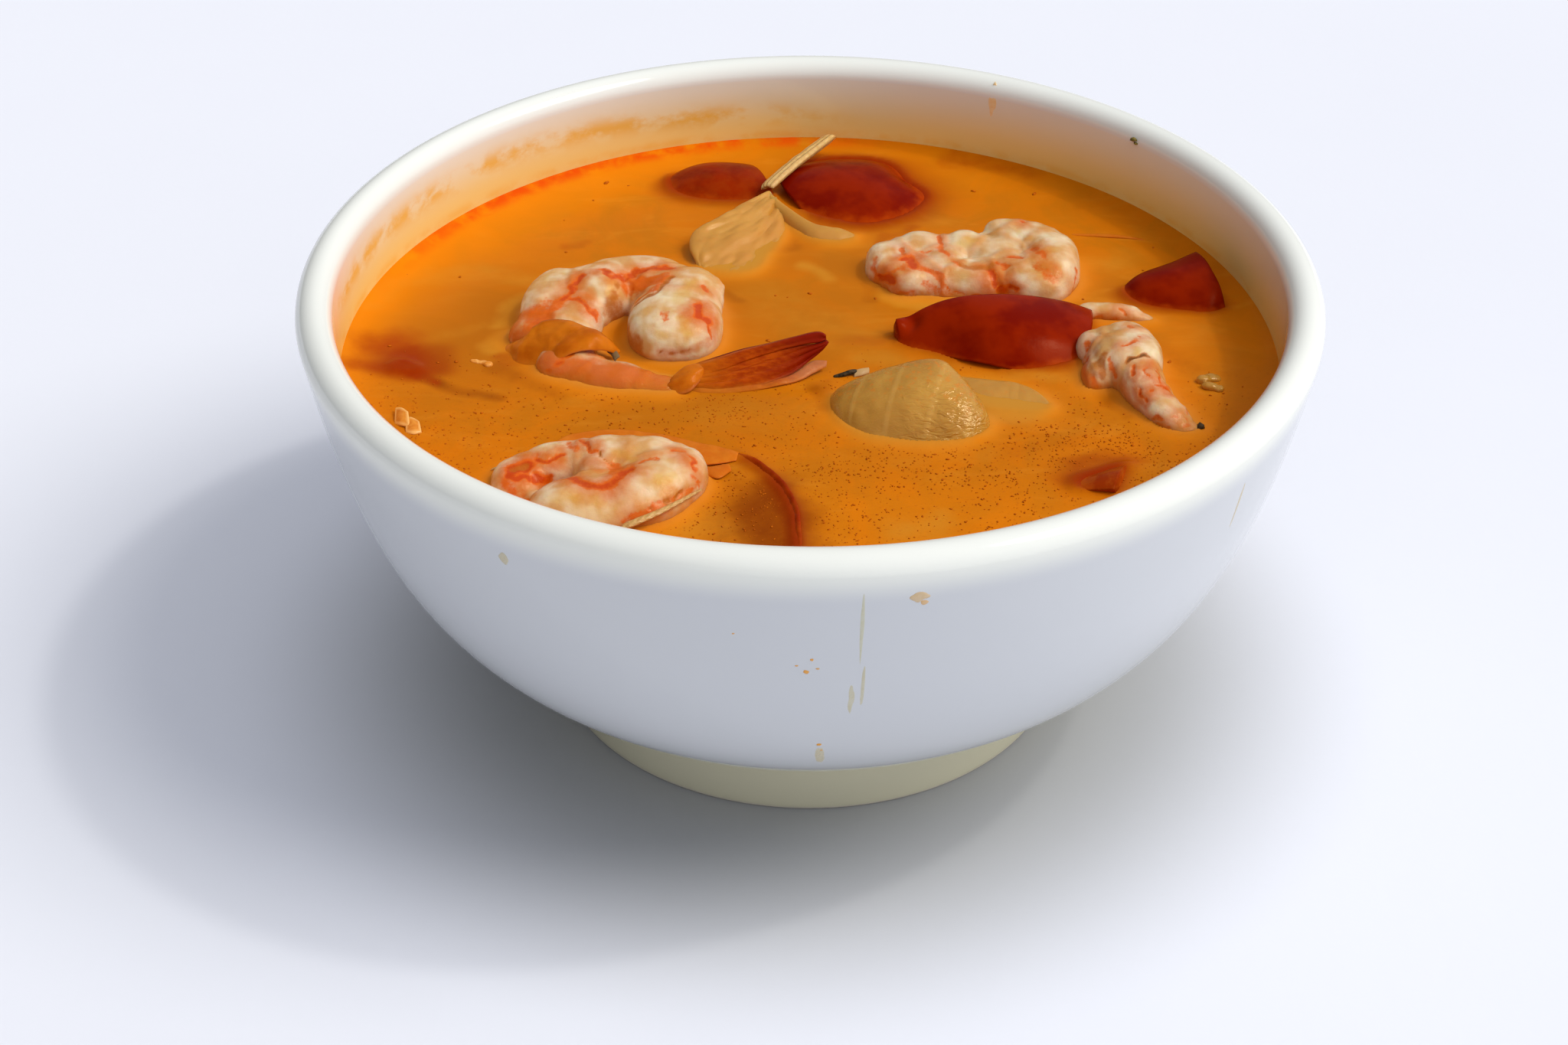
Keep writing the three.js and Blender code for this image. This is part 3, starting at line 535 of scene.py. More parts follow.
class Surface:
    """A Principled material that is put together node by node."""

    def __init__(self, name, **sockets):
        self.material = bpy.data.materials.new(name)
        self.material.use_nodes = True
        self.tree = self.material.node_tree
        self.shader = self.tree.nodes["Principled BSDF"]
        self.place = self.node("ShaderNodeTexCoord").outputs["Object"]
        for key, value in sockets.items():
            self.shader.inputs[key.replace("_", " ")].default_value = value

    def node(self, kind, **settings):
        node = self.tree.nodes.new(kind)
        for key, value in settings.items():
            setattr(node, key, value)
        return node

    def join(self, socket, value):
        """Plugs an output in, or sets a plain value."""
        if isinstance(value, bpy.types.NodeSocket):
            self.tree.links.new(value, socket)
        elif isinstance(value, tuple) and len(value) == 3 and socket.type == "RGBA":
            socket.default_value = (*value, 1)
        else:
            socket.default_value = value

    def attribute(self, name):
        return self.node("ShaderNodeAttribute", attribute_name=name).outputs["Fac"]

    def maths(self, operation, *values, clamp=False):
        node = self.node("ShaderNodeMath", operation=operation, use_clamp=clamp)
        for socket, value in zip(node.inputs, values):
            self.join(socket, value)
        return node.outputs[0]

    def times(self, value, other):
        return self.maths("MULTIPLY", value, other)

    def scaled(self, value, factor, more):
        return self.maths("MULTIPLY_ADD", value, factor, more)

    def step(self, value, low, high, start=0.0, end=1.0):
        """Goes smoothly from start to end while the value goes from low to high."""
        node = self.node("ShaderNodeMapRange", interpolation_type="SMOOTHSTEP")
        for key, number in {"Value": value, "From Min": low, "From Max": high,
                            "To Min": start, "To Max": end}.items():
            self.join(node.inputs[key], number)
        return node.outputs[0]

    def stretched(self, scale):
        node = self.node("ShaderNodeMapping")
        self.join(node.inputs["Vector"], self.place)
        self.join(node.inputs["Scale"], tuple(scale))
        return node.outputs[0]

    def noise(self, size, detail=3.0, roughness=0.55, distortion=0.0, place=None):
        """Noise from 0 to 1 whose features are about size millimetres across."""
        node = self.node("ShaderNodeTexNoise")
        values = {"Vector": place or self.place, "Scale": 1 / (size * MM), "Detail": detail,
                  "Roughness": roughness, "Distortion": distortion}
        for key, value in values.items():
            self.join(node.inputs[key], value)
        return node.outputs["Fac"]

    def axis(self, which):
        node = self.node("ShaderNodeSeparateXYZ")
        self.join(node.inputs[0], self.place)
        return node.outputs[which]

    def mix(self, factor, start, end):
        node = self.node("ShaderNodeMix", data_type="RGBA")
        colours = {0: factor, 6: start, 7: end}  # the inputs of a colour mix, which share their names
        for key, value in colours.items():
            self.join(node.inputs[key], value)
        return node.outputs[2]

    def layered(self, colour, *tints):
        """The colour under tints, each with its weight or the name of the attribute with it."""
        for weight, tint in tints:
            weight = self.attribute(weight) if isinstance(weight, str) else weight
            colour = self.mix(weight, colour, tint)
        return colour

    def colour(self, value):
        self.join(self.shader.inputs["Base Color"], value)

    def roughness(self, value):
        self.join(self.shader.inputs["Roughness"], value)

    def bumps(self, *layers):
        """Bumps from pairs of a height from 0 to 1 and its size in millimetres."""
        normal = None
        for height, size in layers:
            node = self.node("ShaderNodeBump")
            self.join(node.inputs["Strength"], 1.0)
            self.join(node.inputs["Distance"], size * MM)
            self.join(node.inputs["Height"], height)
            if normal:
                self.join(node.inputs["Normal"], normal)
            normal = node.outputs[0]
        self.join(self.shader.inputs["Normal"], normal)


# painted light among the glaze colours: the outer wall's shade, the warm light on the foot, and part of
# the wet colour
GLAZE_SHADE, GLAZE_WHITE, GLAZE_PAINTED_SHADE = (0.79, 0.80, 0.725), (0.83, 0.84, 0.77), (0.595, 0.61, 0.625)
GLAZE_PAINTED_WARM_LIGHT, BARE_CLAY = (0.71, 0.66, 0.44), (0.62, 0.56, 0.45)
GLAZE_WET_AND_BOUNCE, GLAZE_RING = (0.82, 0.565, 0.095), (0.80, 0.42, 0.03)

BROTH_ORANGE, BROTH_DULL = (0.60, 0.157, 0.002), (0.52, 0.150, 0.003)
BROTH_BRIGHT, BROTH_DARKER_AND_SHADE = (0.84, 0.235, 0.002), (0.40, 0.115, 0.004)
BROTH_STREAK, BROTH_GRAIN = (0.66, 0.23, 0.014), (0.40, 0.09, 0.004)
BROTH_PAINTED_GLOW, OIL_RED = (0.80, 0.235, 0.008), (0.72, 0.075, 0.002)
# the marks on the broth: their colours, and how strong they get
BROTH_TINTS = {"pale": ((0.60, 0.245, 0.018), 0.75), "amber": ((0.235, 0.042, 0.0005), 1.0),
               "rust": ((0.34, 0.032, 0.0005), 1.0)}
# toppings seen through a thin layer of broth, and how many millimetres deep they fade away
SUNK = {"onion": (0.54, 0.235, 0.026), "shrimp": (0.62, 0.235, 0.030), "tomato": (0.27, 0.018, 0.0004)}
SUNK_DEPTH = {"onion": 1.3, "shrimp": 1.5, "tomato": 1.9}

MEAT_SHADE, MEAT_WHITE = (0.65, 0.360, 0.120), (0.80, 0.650, 0.41)
MEAT_PINK, MEAT_YELLOW = (0.64, 0.31, 0.11), (0.68, 0.38, 0.045)
MEAT_CREASE_AND_SHADE, MEAT_AMBER = (0.60, 0.20, 0.020), (0.59, 0.112, 0.002)
MEAT_ORANGE, MEAT_RED = (0.68, 0.120, 0.003), (0.56, 0.058, 0.001)
MEAT_BROWN, MEAT_DARK = (0.50, 0.130, 0.006), (0.17, 0.045, 0.006)
SHELL_RED, SHELL_ORANGE = (0.30, 0.028, 0.0005), (0.44, 0.062, 0.001)
SHELL_AMBER, SHELL_GOLD = (0.44, 0.095, 0.001), (0.62, 0.170, 0.005)
SHELL_CRIMSON, SHELL_DARK, SHELL_PALE_AND_HIGHLIGHT = (0.21, 0.007, 0.0008), (0.085, 0.004, 0.006), (0.52, 0.20, 0.075)

SKIN_DEEP, SKIN_RED = (0.172, 0.0038, 0.0), (0.260, 0.0125, 0.0)
FLESH_DEEP, FLESH_RED = (0.30, 0.022, 0.001), (0.46, 0.060, 0.003)
FILMED_RED, FILMED_ORANGE = (0.38, 0.060, 0.0015), (0.54, 0.135, 0.008)
ONION_SHADE, ONION_LIGHT, ONION_RIB = (0.43, 0.195, 0.020), (0.53, 0.265, 0.036), (0.60, 0.34, 0.075)
ONION_PEACH, ONION_FLECK = (0.55, 0.225, 0.033), (0.60, 0.195, 0.008)
STRAW_SHADE, STRAW_LIGHT, STRAW_GAP = (0.60, 0.33, 0.085), (0.72, 0.46, 0.155), (0.42, 0.21, 0.05)


def broth_stain(surface, colour, reach, tint, most=0.75):
    """The colour with a film of broth over whatever is close to the waterline."""
    height = surface.maths("SUBTRACT", surface.axis("Z"), BROTH_LEVEL * MM)
    ragged = surface.scaled(surface.noise(2.5), 1.6 * MM, -0.8 * MM)
    film = surface.step(surface.maths("ADD", height, ragged), 0.0, reach * MM, most, 0.0)
    return surface.mix(film, colour, tint)


def glaze_material():
    s = Surface("glaze", Roughness=0.1, IOR=1.5)
    height = s.axis("Z")
    inside = s.attribute("inside")
    # painted shade: the outer wall below the rim is darker and bluer than the rim, for the shade on it
    below_rim = s.step(height, (RIM_TOP - 2.5) * MM, (RIM_TOP - 8) * MM)
    # painted light: the foot is tinted warm for the light thrown onto it from what it stands on
    foot = s.step(height, (FOOT_HEIGHT + 1) * MM, (FOOT_HEIGHT - 1) * MM, 0.0, 0.9)
    bare = s.step(height, 0.7 * MM, 0.3 * MM)
    # soup has dried on the inner wall, just above the broth, and the broth's orange light is painted in
    # with it
    wet_and_bounce = s.step(height, (BROTH_LEVEL + 15.5) * MM, (BROTH_LEVEL + 2) * MM, 0.0, 0.85)
    blots = s.noise(7, detail=5, roughness=0.6, place=s.stretched((1, 1, 1.6)))
    blots = s.step(blots, 0.40, 0.62, 0.0, 0.8)
    s.colour(s.layered(
        s.mix(s.noise(28, detail=2), GLAZE_SHADE, GLAZE_WHITE),
        (s.times(below_rim, s.maths("SUBTRACT", 1.0, inside)), GLAZE_PAINTED_SHADE), (foot, GLAZE_PAINTED_WARM_LIGHT),
        (s.times(wet_and_bounce, inside), GLAZE_WET_AND_BOUNCE), (s.times(blots, s.attribute("residue")), GLAZE_RING),
        (bare, BARE_CLAY)))
    s.roughness(s.scaled(s.noise(9), 0.08, s.scaled(bare, 0.6, 0.05)))
    s.bumps((s.noise(7, detail=1), 0.02), (s.noise(1.1, detail=2), 0.004))
    return s.material


def broth_material():
    s = Surface("broth", IOR=1.34, Specular_IOR_Level=0.05, Specular_Tint=(1, 0.6, 0.3, 1))
    milky = s.noise(15, detail=6, roughness=0.62, distortion=1.2)
    streaks = s.noise(6, detail=4, roughness=0.6, distortion=0.8, place=s.stretched((0.35, 1, 1)))
    uneven = s.scaled(s.noise(8), 0.3, -0.15)
    bright = s.maths("ADD", s.attribute("bright"), uneven, clamp=True)
    # the darker marks are partly the broth's tone and partly painted shade
    colour = s.layered(s.mix(s.step(milky, 0.36, 0.64), BROTH_ORANGE, BROTH_DULL),
                       (s.step(streaks, 0.5, 0.72, 0.0, 0.35), BROTH_STREAK),
                       (bright, BROTH_BRIGHT), ("deep", BROTH_DARKER_AND_SHADE))
    ragged = s.scaled(s.noise(3.5, detail=4), 0.5, -0.25)
    for key, (tint, most) in BROTH_TINTS.items():
        mark = s.attribute(key)
        value = s.times(s.maths("ADD", ragged, mark), s.step(mark, 0.0, 0.3))
        colour = s.mix(s.step(value, 0.0, 1.1, 0.0, most), colour, tint)
    grains = s.step(s.noise(0.8, detail=4, roughness=0.7), 0.54, 0.74, 0.0, 0.6)
    oil = s.times(s.attribute("oil"), s.step(s.noise(5, detail=4), 0.3, 0.62))
    # the glow round the toppings is painted light
    s.colour(s.layered(colour, (s.times(grains, s.attribute("grainy")), BROTH_GRAIN),
                       (s.times(s.attribute("painted_glow"), 0.5), BROTH_PAINTED_GLOW), *SUNK.items(), (oil, OIL_RED)))
    s.roughness(s.step(s.noise(12), 0.3, 0.7, 0.16, 0.26))
    s.bumps((s.noise(14, detail=2), 0.10), (s.noise(1.4, detail=3), 0.015))
    return s.material


def shrimp_material():
    s = Surface("shrimp_meat", Subsurface_Weight=0.55, Subsurface_Scale=2.2 * MM,
                Subsurface_Radius=(1.0, 0.45, 0.2), IOR=1.4, Specular_IOR_Level=0.35,
                Specular_Tint=(1, 0.8, 0.5, 1))
    pinkish = s.noise(7, detail=1, place=s.stretched((1, 1, 0.6)))
    fine = s.noise(0.8, detail=5, roughness=0.65)
    grain = s.maths("SUBTRACT", fine, 0.5)
    amber = s.scaled(grain, 0.3, s.attribute("amber"))
    red = s.scaled(grain, 0.9, s.attribute("red"))
    stain = s.scaled(grain, 0.6, s.attribute("stain"))
    colour = s.layered(
        s.mix(s.step(s.noise(4.5, detail=2), 0.36, 0.64), MEAT_SHADE, MEAT_WHITE),
        (s.step(pinkish, 0.5, 0.62, 0.0, 0.35), MEAT_PINK),
        (s.times(s.attribute("yellow"), 0.8), MEAT_YELLOW),
        # the creases between lobes turn darker orange: partly the meat's own colour, partly painted shade
        (s.times(s.attribute("crease"), 0.42), MEAT_CREASE_AND_SHADE),
        (s.step(amber, 0.0, 0.8, 0.0, 0.95), MEAT_AMBER),
        (s.step(red, 0.12, 0.55, 0.0, 0.9), MEAT_ORANGE), (s.step(red, 0.5, 0.95), MEAT_RED),
        (s.step(stain, 0.15, 0.7, 0.0, 0.85), MEAT_BROWN),
        (s.step(stain, 0.65, 1.05, 0.0, 0.9), MEAT_DARK))
    s.colour(broth_stain(s, colour, 2.0, (0.58, 0.17, 0.010)))
    s.roughness(s.step(fine, 0.3, 0.7, 0.12, 0.24))
    s.bumps((s.noise(2.6, detail=2), 0.18), (fine, 0.10))
    return s.material


def shell_material():
    s = Surface("shrimp_shell", Subsurface_Weight=0.1, Subsurface_Scale=1 * MM, IOR=1.38,
                Specular_IOR_Level=0.16, Specular_Tint=(1, 0.55, 0.3, 1))
    fine = s.noise(0.7, detail=5, roughness=0.65, place=s.stretched((0.35, 1, 1)))
    cloud = s.step(s.noise(5, detail=3, distortion=0.4), 0.34, 0.66)
    colour = s.layered(
        s.mix(s.step(fine, 0.35, 0.65), SHELL_RED, SHELL_ORANGE),
        ("amber", s.mix(cloud, SHELL_AMBER, SHELL_GOLD)),
        # pale is partly the shell's own pale edges and partly a painted highlight on the flap
        ("crimson", SHELL_CRIMSON), ("dark", SHELL_DARK), ("pale", SHELL_PALE_AND_HIGHLIGHT))
    s.colour(broth_stain(s, colour, 1.2, (0.55, 0.155, 0.008)))
    s.roughness(s.step(fine, 0.3, 0.7, 0.14, 0.24))
    s.bumps((s.noise(1.6, detail=3), 0.10), (fine, 0.03))
    return s.material


def scrap_material(name, low, high, size, roughness, specular, *mark):
    """A small scrap's surface: blotches of two colours, and its own marks if it has a third."""
    s = Surface(name, IOR=1.4, Specular_IOR_Level=specular)
    blotch = s.noise(size, detail=4, roughness=0.6)
    s.colour(s.layered(s.mix(s.step(blotch, 0.36, 0.64), low, high), *(("mark", tint) for tint in mark)))
    s.roughness(s.step(blotch, 0.3, 0.7, roughness - 0.08, roughness + 0.08))
    s.bumps((blotch, 0.06))
    return s.material


def tomato_material():
    s = Surface("tomato", IOR=1.3, Specular_IOR_Level=0.10, Specular_Tint=(1, 0.45, 0.2, 1))
    skin = s.attribute("skin")
    soft = s.noise(7, detail=3)
    fine = s.noise(0.9, detail=4, roughness=0.65)
    colour = s.mix(skin, s.mix(s.step(fine, 0.3, 0.7), FLESH_DEEP, FLESH_RED),
                   s.mix(s.step(soft, 0.35, 0.65), SKIN_DEEP, SKIN_RED))
    # the film of broth at the waterline is partly painted light: its tint is kept light to lift the shade
    # on the lower sides
    colour = broth_stain(s, colour, 1.2, (0.42, 0.045, 0.0008), 0.85)
    blot = s.step(s.noise(2.6, detail=4, roughness=0.6), 0.38, 0.62)
    s.colour(s.layered(colour, ("film", s.mix(blot, FILMED_RED, FILMED_ORANGE))))
    s.roughness(s.scaled(s.step(skin, 0, 1), -0.12, 0.32))
    s.bumps((soft, 0.1), (fine, 0.03))
    return s.material


def onion_material():
    s = Surface("onion", Subsurface_Weight=0.3, Subsurface_Scale=2 * MM,
                Subsurface_Radius=(1.0, 0.55, 0.15), IOR=1.4, Specular_IOR_Level=0.8,
                Specular_Tint=(1, 0.8, 0.5, 1))
    rib, wrinkled = s.attribute("rib"), s.attribute("wrinkled")
    flecks = s.step(s.noise(1.0, detail=4, roughness=0.6), 0.52, 0.64, 0.0, 0.8)
    colour = s.layered(
        s.mix(s.step(s.noise(6, detail=3), 0.3, 0.7), ONION_SHADE, ONION_LIGHT),
        (s.times(rib, 0.30), ONION_RIB), ("peach", ONION_PEACH),
        (s.times(flecks, s.attribute("flecked")), ONION_FLECK))
    s.colour(broth_stain(s, colour, 1.0, SUNK["onion"], 0.9))
    fine = s.noise(0.7, detail=4, roughness=0.6, distortion=0.8, place=s.stretched((0.5, 1, 1.4)))
    creased = s.noise(1.1, detail=2, roughness=0.5, distortion=1.0, place=s.stretched((0.5, 1, 1.6)))
    dull = s.scaled(s.attribute("peach"), 0.38, s.step(fine, 0.3, 0.7, 0.20, 0.30))
    s.roughness(s.scaled(wrinkled, -0.10, dull))
    s.bumps((rib, 0.015), (s.times(creased, wrinkled), 0.38), (fine, 0.03))
    return s.material


def lemongrass_material():
    s = Surface("lemongrass", Roughness=0.45, Subsurface_Weight=0.15, Subsurface_Scale=1 * MM)
    gap = s.attribute("strand")
    fibre = s.step(s.noise(0.8, detail=3), 0.3, 0.7)
    s.colour(s.layered(s.mix(fibre, STRAW_SHADE, STRAW_LIGHT), (s.times(gap, 0.5), STRAW_GAP)))
    s.bumps((gap, 0.12), (fibre, 0.05))
    return s.material


# The small scraps: two colours, the size of their blotches, roughness, specular level, and the
# colour of their marks.
SPECK = scrap_material("soup_speck", (0.40, 0.075, 0.002), (0.58, 0.140, 0.005), 0.5, 0.5, 0.05)
SPILL = scrap_material("dried_soup", (0.58, 0.57, 0.45), (0.54, 0.52, 0.38), 0.7, 0.3, 0.4,
                       (0.75, 0.32, 0.03))
RUN = scrap_material("dried_run", (0.88, 0.68, 0.38), (0.86, 0.60, 0.28), 0.7, 0.3, 0.4)
CHIP = scrap_material("translucent_chip", (0.68, 0.215, 0.012), (0.80, 0.38, 0.090), 1.2, 0.2, 0.3)
FLAKE = scrap_material("translucent_flake", (0.60, 0.175, 0.009), (0.70, 0.26, 0.026), 1.2, 0.2, 0.3,
                       (0.82, 0.43, 0.12))
FILM = scrap_material("soup_film", (0.56, 0.125, 0.004), (0.60, 0.160, 0.008), 3.0, 0.2, 0.08,
                      (0.45, 0.055, 0.002))
DARK = scrap_material("dark_scrap", (0.014, 0.010, 0.005), (0.075, 0.045, 0.018), 0.8, 0.35, 0.15,
                      (0.50, 0.30, 0.12))
HERB = scrap_material("herb", (0.10, 0.070, 0.010), (0.24, 0.170, 0.030), 0.5, 0.4, 0.2)
GLAZE = glaze_material()
BROTH = broth_material()
MEAT = shrimp_material()
SHELL = shell_material()
TOMATO_SKIN = tomato_material()
ONION = onion_material()
STRAW = lemongrass_material()

# ------------------------------------------------------------------ the bowl


def bezier(start, handles, end, steps):
    a, b, c, d = (np.array(p, float) for p in (start, *handles, end))
    t = np.linspace(0, 1, steps + 1)[:, None]
    return (1 - t) ** 3 * a + 3 * (1 - t) ** 2 * t * b + 3 * (1 - t) * t * t * c + t ** 3 * d


def arc(centre, radius, start, end, steps):
    angle = np.radians(np.linspace(start, end, steps + 1))
    return np.stack([centre[0] + radius * np.cos(angle), centre[1] + radius * np.sin(angle)], -1)


def inner_wall(steps):
    return bezier((BROTH_RADIUS, BROTH_LEVEL), INNER_HANDLES, (0, FLOOR_HEIGHT), steps)


def revolved(profile, around):
    angle = np.linspace(0, 2 * math.pi, around, endpoint=False)
    x = profile[:, :1] * np.cos(angle)
    y = profile[:, :1] * np.sin(angle)
    return np.stack([x, y, np.broadcast_to(profile[:, 1:], x.shape)], -1)


def outer_wall():
    return bezier((FOOT_RADIUS + FOOT_SLOPE + 0.7, FOOT_HEIGHT), OUTER_HANDLES,
                  (RIM_RADIUS, RIM_TOP - BEAD_RADIUS), OUTER_STEPS)


def build_bowl():
    edge = FOOT_EDGE
    inner = FOOT_RADIUS - FOOT_WIDTH
    foot_top = FOOT_RADIUS + FOOT_SLOPE
    bead = (RIM_RADIUS - BEAD_RADIUS, RIM_TOP - BEAD_RADIUS)
    lip_top = (bead[0] - BEAD_RADIUS, bead[1])
    lip = np.linspace(lip_top, (BROTH_RADIUS, BROTH_LEVEL), LIP_STEPS + 2)[1:-1]
    profile = np.vstack([
        np.linspace((0.3, FOOT_RECESS), (inner - FOOT_SLOPE - edge, FOOT_RECESS), 20),
        arc((inner - FOOT_SLOPE - edge, FOOT_RECESS - edge), edge, 80, 0, 4),
        np.linspace((inner - 0.1, 1.1), (inner, edge), 3),
        arc((inner + edge, edge), edge, 190, 270, 5),
        arc((FOOT_RADIUS - edge, edge), edge, 270, 350, 5),
        np.linspace((FOOT_RADIUS + 0.1, 1.5), (foot_top - 0.05, FOOT_HEIGHT - 1.2), 8),
        arc((foot_top + 0.5, FOOT_HEIGHT - 0.8), 0.55, 180, 100, 5),
        outer_wall()[1:],
        arc(bead, BEAD_RADIUS, 0, 180, 28)[1:],
        lip,
        inner_wall(INNER_STEPS)[:-1],
        [(0.3, FLOOR_HEIGHT)],
    ])
    points, faces = tube(revolved(profile, BOWL_SIDES))
    within = np.zeros(profile.shape[0])
    within[-(LIP_STEPS + INNER_STEPS + 1):] = 1  # the lip, the inner wall and the middle of the floor
    within = ring_values(np.repeat(within[:, None], BOWL_SIDES, axis=1))
    # soup has dried along a line that climbs from the back to the left
    heading = np.degrees(np.arctan2(points[:, 1], points[:, 0]))
    line = np.interp(heading, RESIDUE_HEADINGS, RESIDUE_HEIGHTS)
    residue = np.exp(-((points[:, 2] - line) / 1.9) ** 2) * smoothstep(80, 98, heading) * within
    low = 0.6 * np.exp(-((points[:, 2] - BROTH_LEVEL - 1.6) / 0.8) ** 2) * within
    return make_piece("bowl_glazed", points, faces, GLAZE, "glaze", ["bowl"], inside=within,
                      residue=np.maximum(residue, low))


# ------------------------------------------------------------------ shrimp


def lobe_frame(centre, sizes, heading=0):
    """Where a lobe is and which way it lies: its centre, its own axes, a row each, and its sizes."""
    axes = turned(np.eye(3), (heading, 0, 0))
    return np.array(centre, float) + BROTH_LEVEL * UP, axes, np.array(sizes, float)


def squarish(vectors):
    """The length of vectors by a measure whose unit ball is a little boxy."""
    return np.sum(np.abs(vectors) ** BOXINESS, axis=-1) ** (1 / BOXINESS)


def core_rings(spine, widths, heights, rows=60, columns=28):
    """The rings of a tube along a spine, with rounded ends."""
    line = spline(spine, rows) + BROTH_LEVEL * UP
    at = np.linspace(0, 1, rows + 1)
    along = unit(np.gradient(line, axis=0))
    side = unit(np.cross(along, UP))
    lift = np.cross(side, along)
    near_end = np.minimum(np.minimum(at, 1 - at) / 0.1, 1)
    rounding = np.sqrt(lerp(0.1, 1, near_end * (2 - near_end)))
    angle = np.linspace(0, 2 * math.pi, columns, endpoint=False)
    width = (np.interp(at, (0, 0.5, 1), widths) * rounding)[:, None] * np.cos(angle)
    height = (np.interp(at, (0, 0.5, 1), heights) * rounding)[:, None] * np.sin(angle)
    return line[:, None] + width[..., None] * side[:, None] + height[..., None] * lift[:, None]


def lobe_mesh(lobe, rows, columns, lump, seed):
    centre, axes, sizes = lobe_frame(*lobe)
    polar = np.linspace(0.08, math.pi - 0.08, rows)[:, None]
    angle = np.linspace(0, 2 * math.pi, columns, endpoint=False)[None, :]
    ball = np.stack([np.sin(polar) * np.cos(angle), np.sin(polar) * np.sin(angle),
                     np.cos(polar) * np.ones_like(angle)], -1)
    ball /= squarish(ball)[..., None]
    points = centre + (ball * sizes) @ axes
    return tube(points + lump * fractal(points, 2.5, seed)[..., None] * (points - centre))


def lobe_depths(points, lobes):
    """How far outside each lobe each point is, about in millimetres."""
    depths = []
    for lobe in lobes:
        centre, axes, sizes = lobe_frame(*lobe)
        scaled = squarish((points - centre) @ axes.T / sizes)
        depths.append((scaled - 1) * sizes.mean())
    return np.stack(depths, -1)


def fused(parts, voxel, smoothing):
    """The outer skin of overlapping bodies, as points, faces and normals."""
    points, faces = joined(parts)
    mesh = bpy.data.meshes.new("lobes")
    mesh.from_pydata((points * MM).tolist(), [], faces)
    block = bpy.data.objects.new("lobes", mesh)
    bpy.context.scene.collection.objects.link(block)
    remesh = block.modifiers.new("skin", "REMESH")
    remesh.mode = "VOXEL"
    remesh.voxel_size = voxel * MM
    smooth = block.modifiers.new("smooth", "SMOOTH")
    smooth.factor = 0.5
    smooth.iterations = smoothing
    shown = block.evaluated_get(bpy.context.evaluated_depsgraph_get())
    skin = bpy.data.meshes.new_from_object(shown)
    count = len(skin.vertices)
    places = np.empty(count * 3)
    normals = np.empty(count * 3)
    skin.vertices.foreach_get("co", places)
    skin.vertices.foreach_get("normal", normals)
    faces = [tuple(face.vertices) for face in skin.polygons]
    bpy.data.objects.remove(block)
    bpy.data.meshes.remove(skin)
    return places.reshape(-1, 3) / MM, faces, normals.reshape(-1, 3)


def build_shrimp(name, voxel, smoothing, seed):
    """Shrimp meat: lobes grown together, with the marks painted on."""
    lobes, marks = LOBES[name], MARKS[name]
    parts = [lobe_mesh(lobe, 20, 28, 0.03, seed + k) for k, lobe in enumerate(lobes)]
    parts.append(tube(core_rings(*SPINES[name])))
    points, faces, normals = fused(parts, voxel, smoothing)
    depths = np.sort(lobe_depths(points, lobes), axis=-1)
    crease = smoothstep(1.3, 0.0, depths[:, 1] - depths[:, 0])
    paint = {kind: painted(points, marks.get(kind, ()), seed=seed)
             for kind in ("red", "stain", "amber", "yellow")}
    # an orange wash lies round each red stroke
    wash = [(2.4 * radius + 0.9, 0.7 * strength, *line) for radius, strength, *line in marks["red"]]
    paint["amber"] = np.maximum(paint["amber"], painted(points, wash, 1.2, 2.2, seed + 9, soft=True))
    rough = 0.10 * fractal(points, 3.6, seed) + 0.03 * fractal(points, 0.9, seed + 40)
    rough += 0.30 * crease - 0.22 * paint["red"] - 0.25 * paint["stain"]
    points = points + rough[:, None] * normals
    return make_piece(f"{name}_meat", points, faces, MEAT, "shrimp", [name], crease=crease, **paint)


# ------------------------------------------------------------------ leaves of shell


def sheet_body(surface, thickness, rows, columns):
    """A closed thin body about a curved surface. surface(u, v) gives points for u from 0 to 1
    and v from -1 to 1, and thickness(u, v) how thick it is there. Also gives u and v."""
    u = np.linspace(0, 1, rows + 1)[:, None] * np.ones(columns + 1)
    v = np.ones(rows + 1)[:, None] * np.linspace(-1, 1, columns + 1)
    middle = surface(u, v)
    across = np.gradient(middle, axis=1)
    along = np.gradient(middle, axis=0)
    normal = unit(np.cross(along, across))
    half = (thickness(u, v) / 2 * np.sqrt(np.clip(1 - v ** 8, 0.02, 1)))[..., None]
    rings = np.concatenate([middle + half * normal, (middle - half * normal)[:, ::-1]], axis=1)
    return rings, np.concatenate([u, u], 1), np.concatenate([v, v[:, ::-1]], 1)


def patch(top, bottom, bulge, thickness, wave, seed, relief=None, rows=80, columns=30, round_ends=0.0):
    """A thin leaf stretched between two curves, whose heights are over the broth. bulge arches
    it, less towards its ends where they are round, wave makes it uneven, and relief(u, v) adds
    ridges. v is -1 along the top curve and 1 along the bottom one."""
    upper, lower = spline(top, rows), spline(bottom, rows)
    face = unit(np.cross(np.gradient(upper + lower, axis=0), lower - upper))
    face *= np.where(face[:, 2:] < 0, -1, 1)

    def surface(u, v):
        flat = lerp(upper[:, None], lower[:, None], ((v + 1) / 2)[..., None]) + BROTH_LEVEL * UP
        arch = bulge * lerp(1, np.sqrt(np.clip(np.sin(math.pi * u), 0, 1)), round_ends)
        rise = arch * (1 - v ** 2) + wave * fractal(flat, 2.4, seed)
        if relief:
            rise = rise + relief(u, v)
        return flat + face[:, None] * rise[..., None]

    def depth(u, v):
        return thickness * np.sqrt(np.clip(1 - (2 * u - 1) ** 16, 0.05, 1))

    return sheet_body(surface, depth, rows, columns)


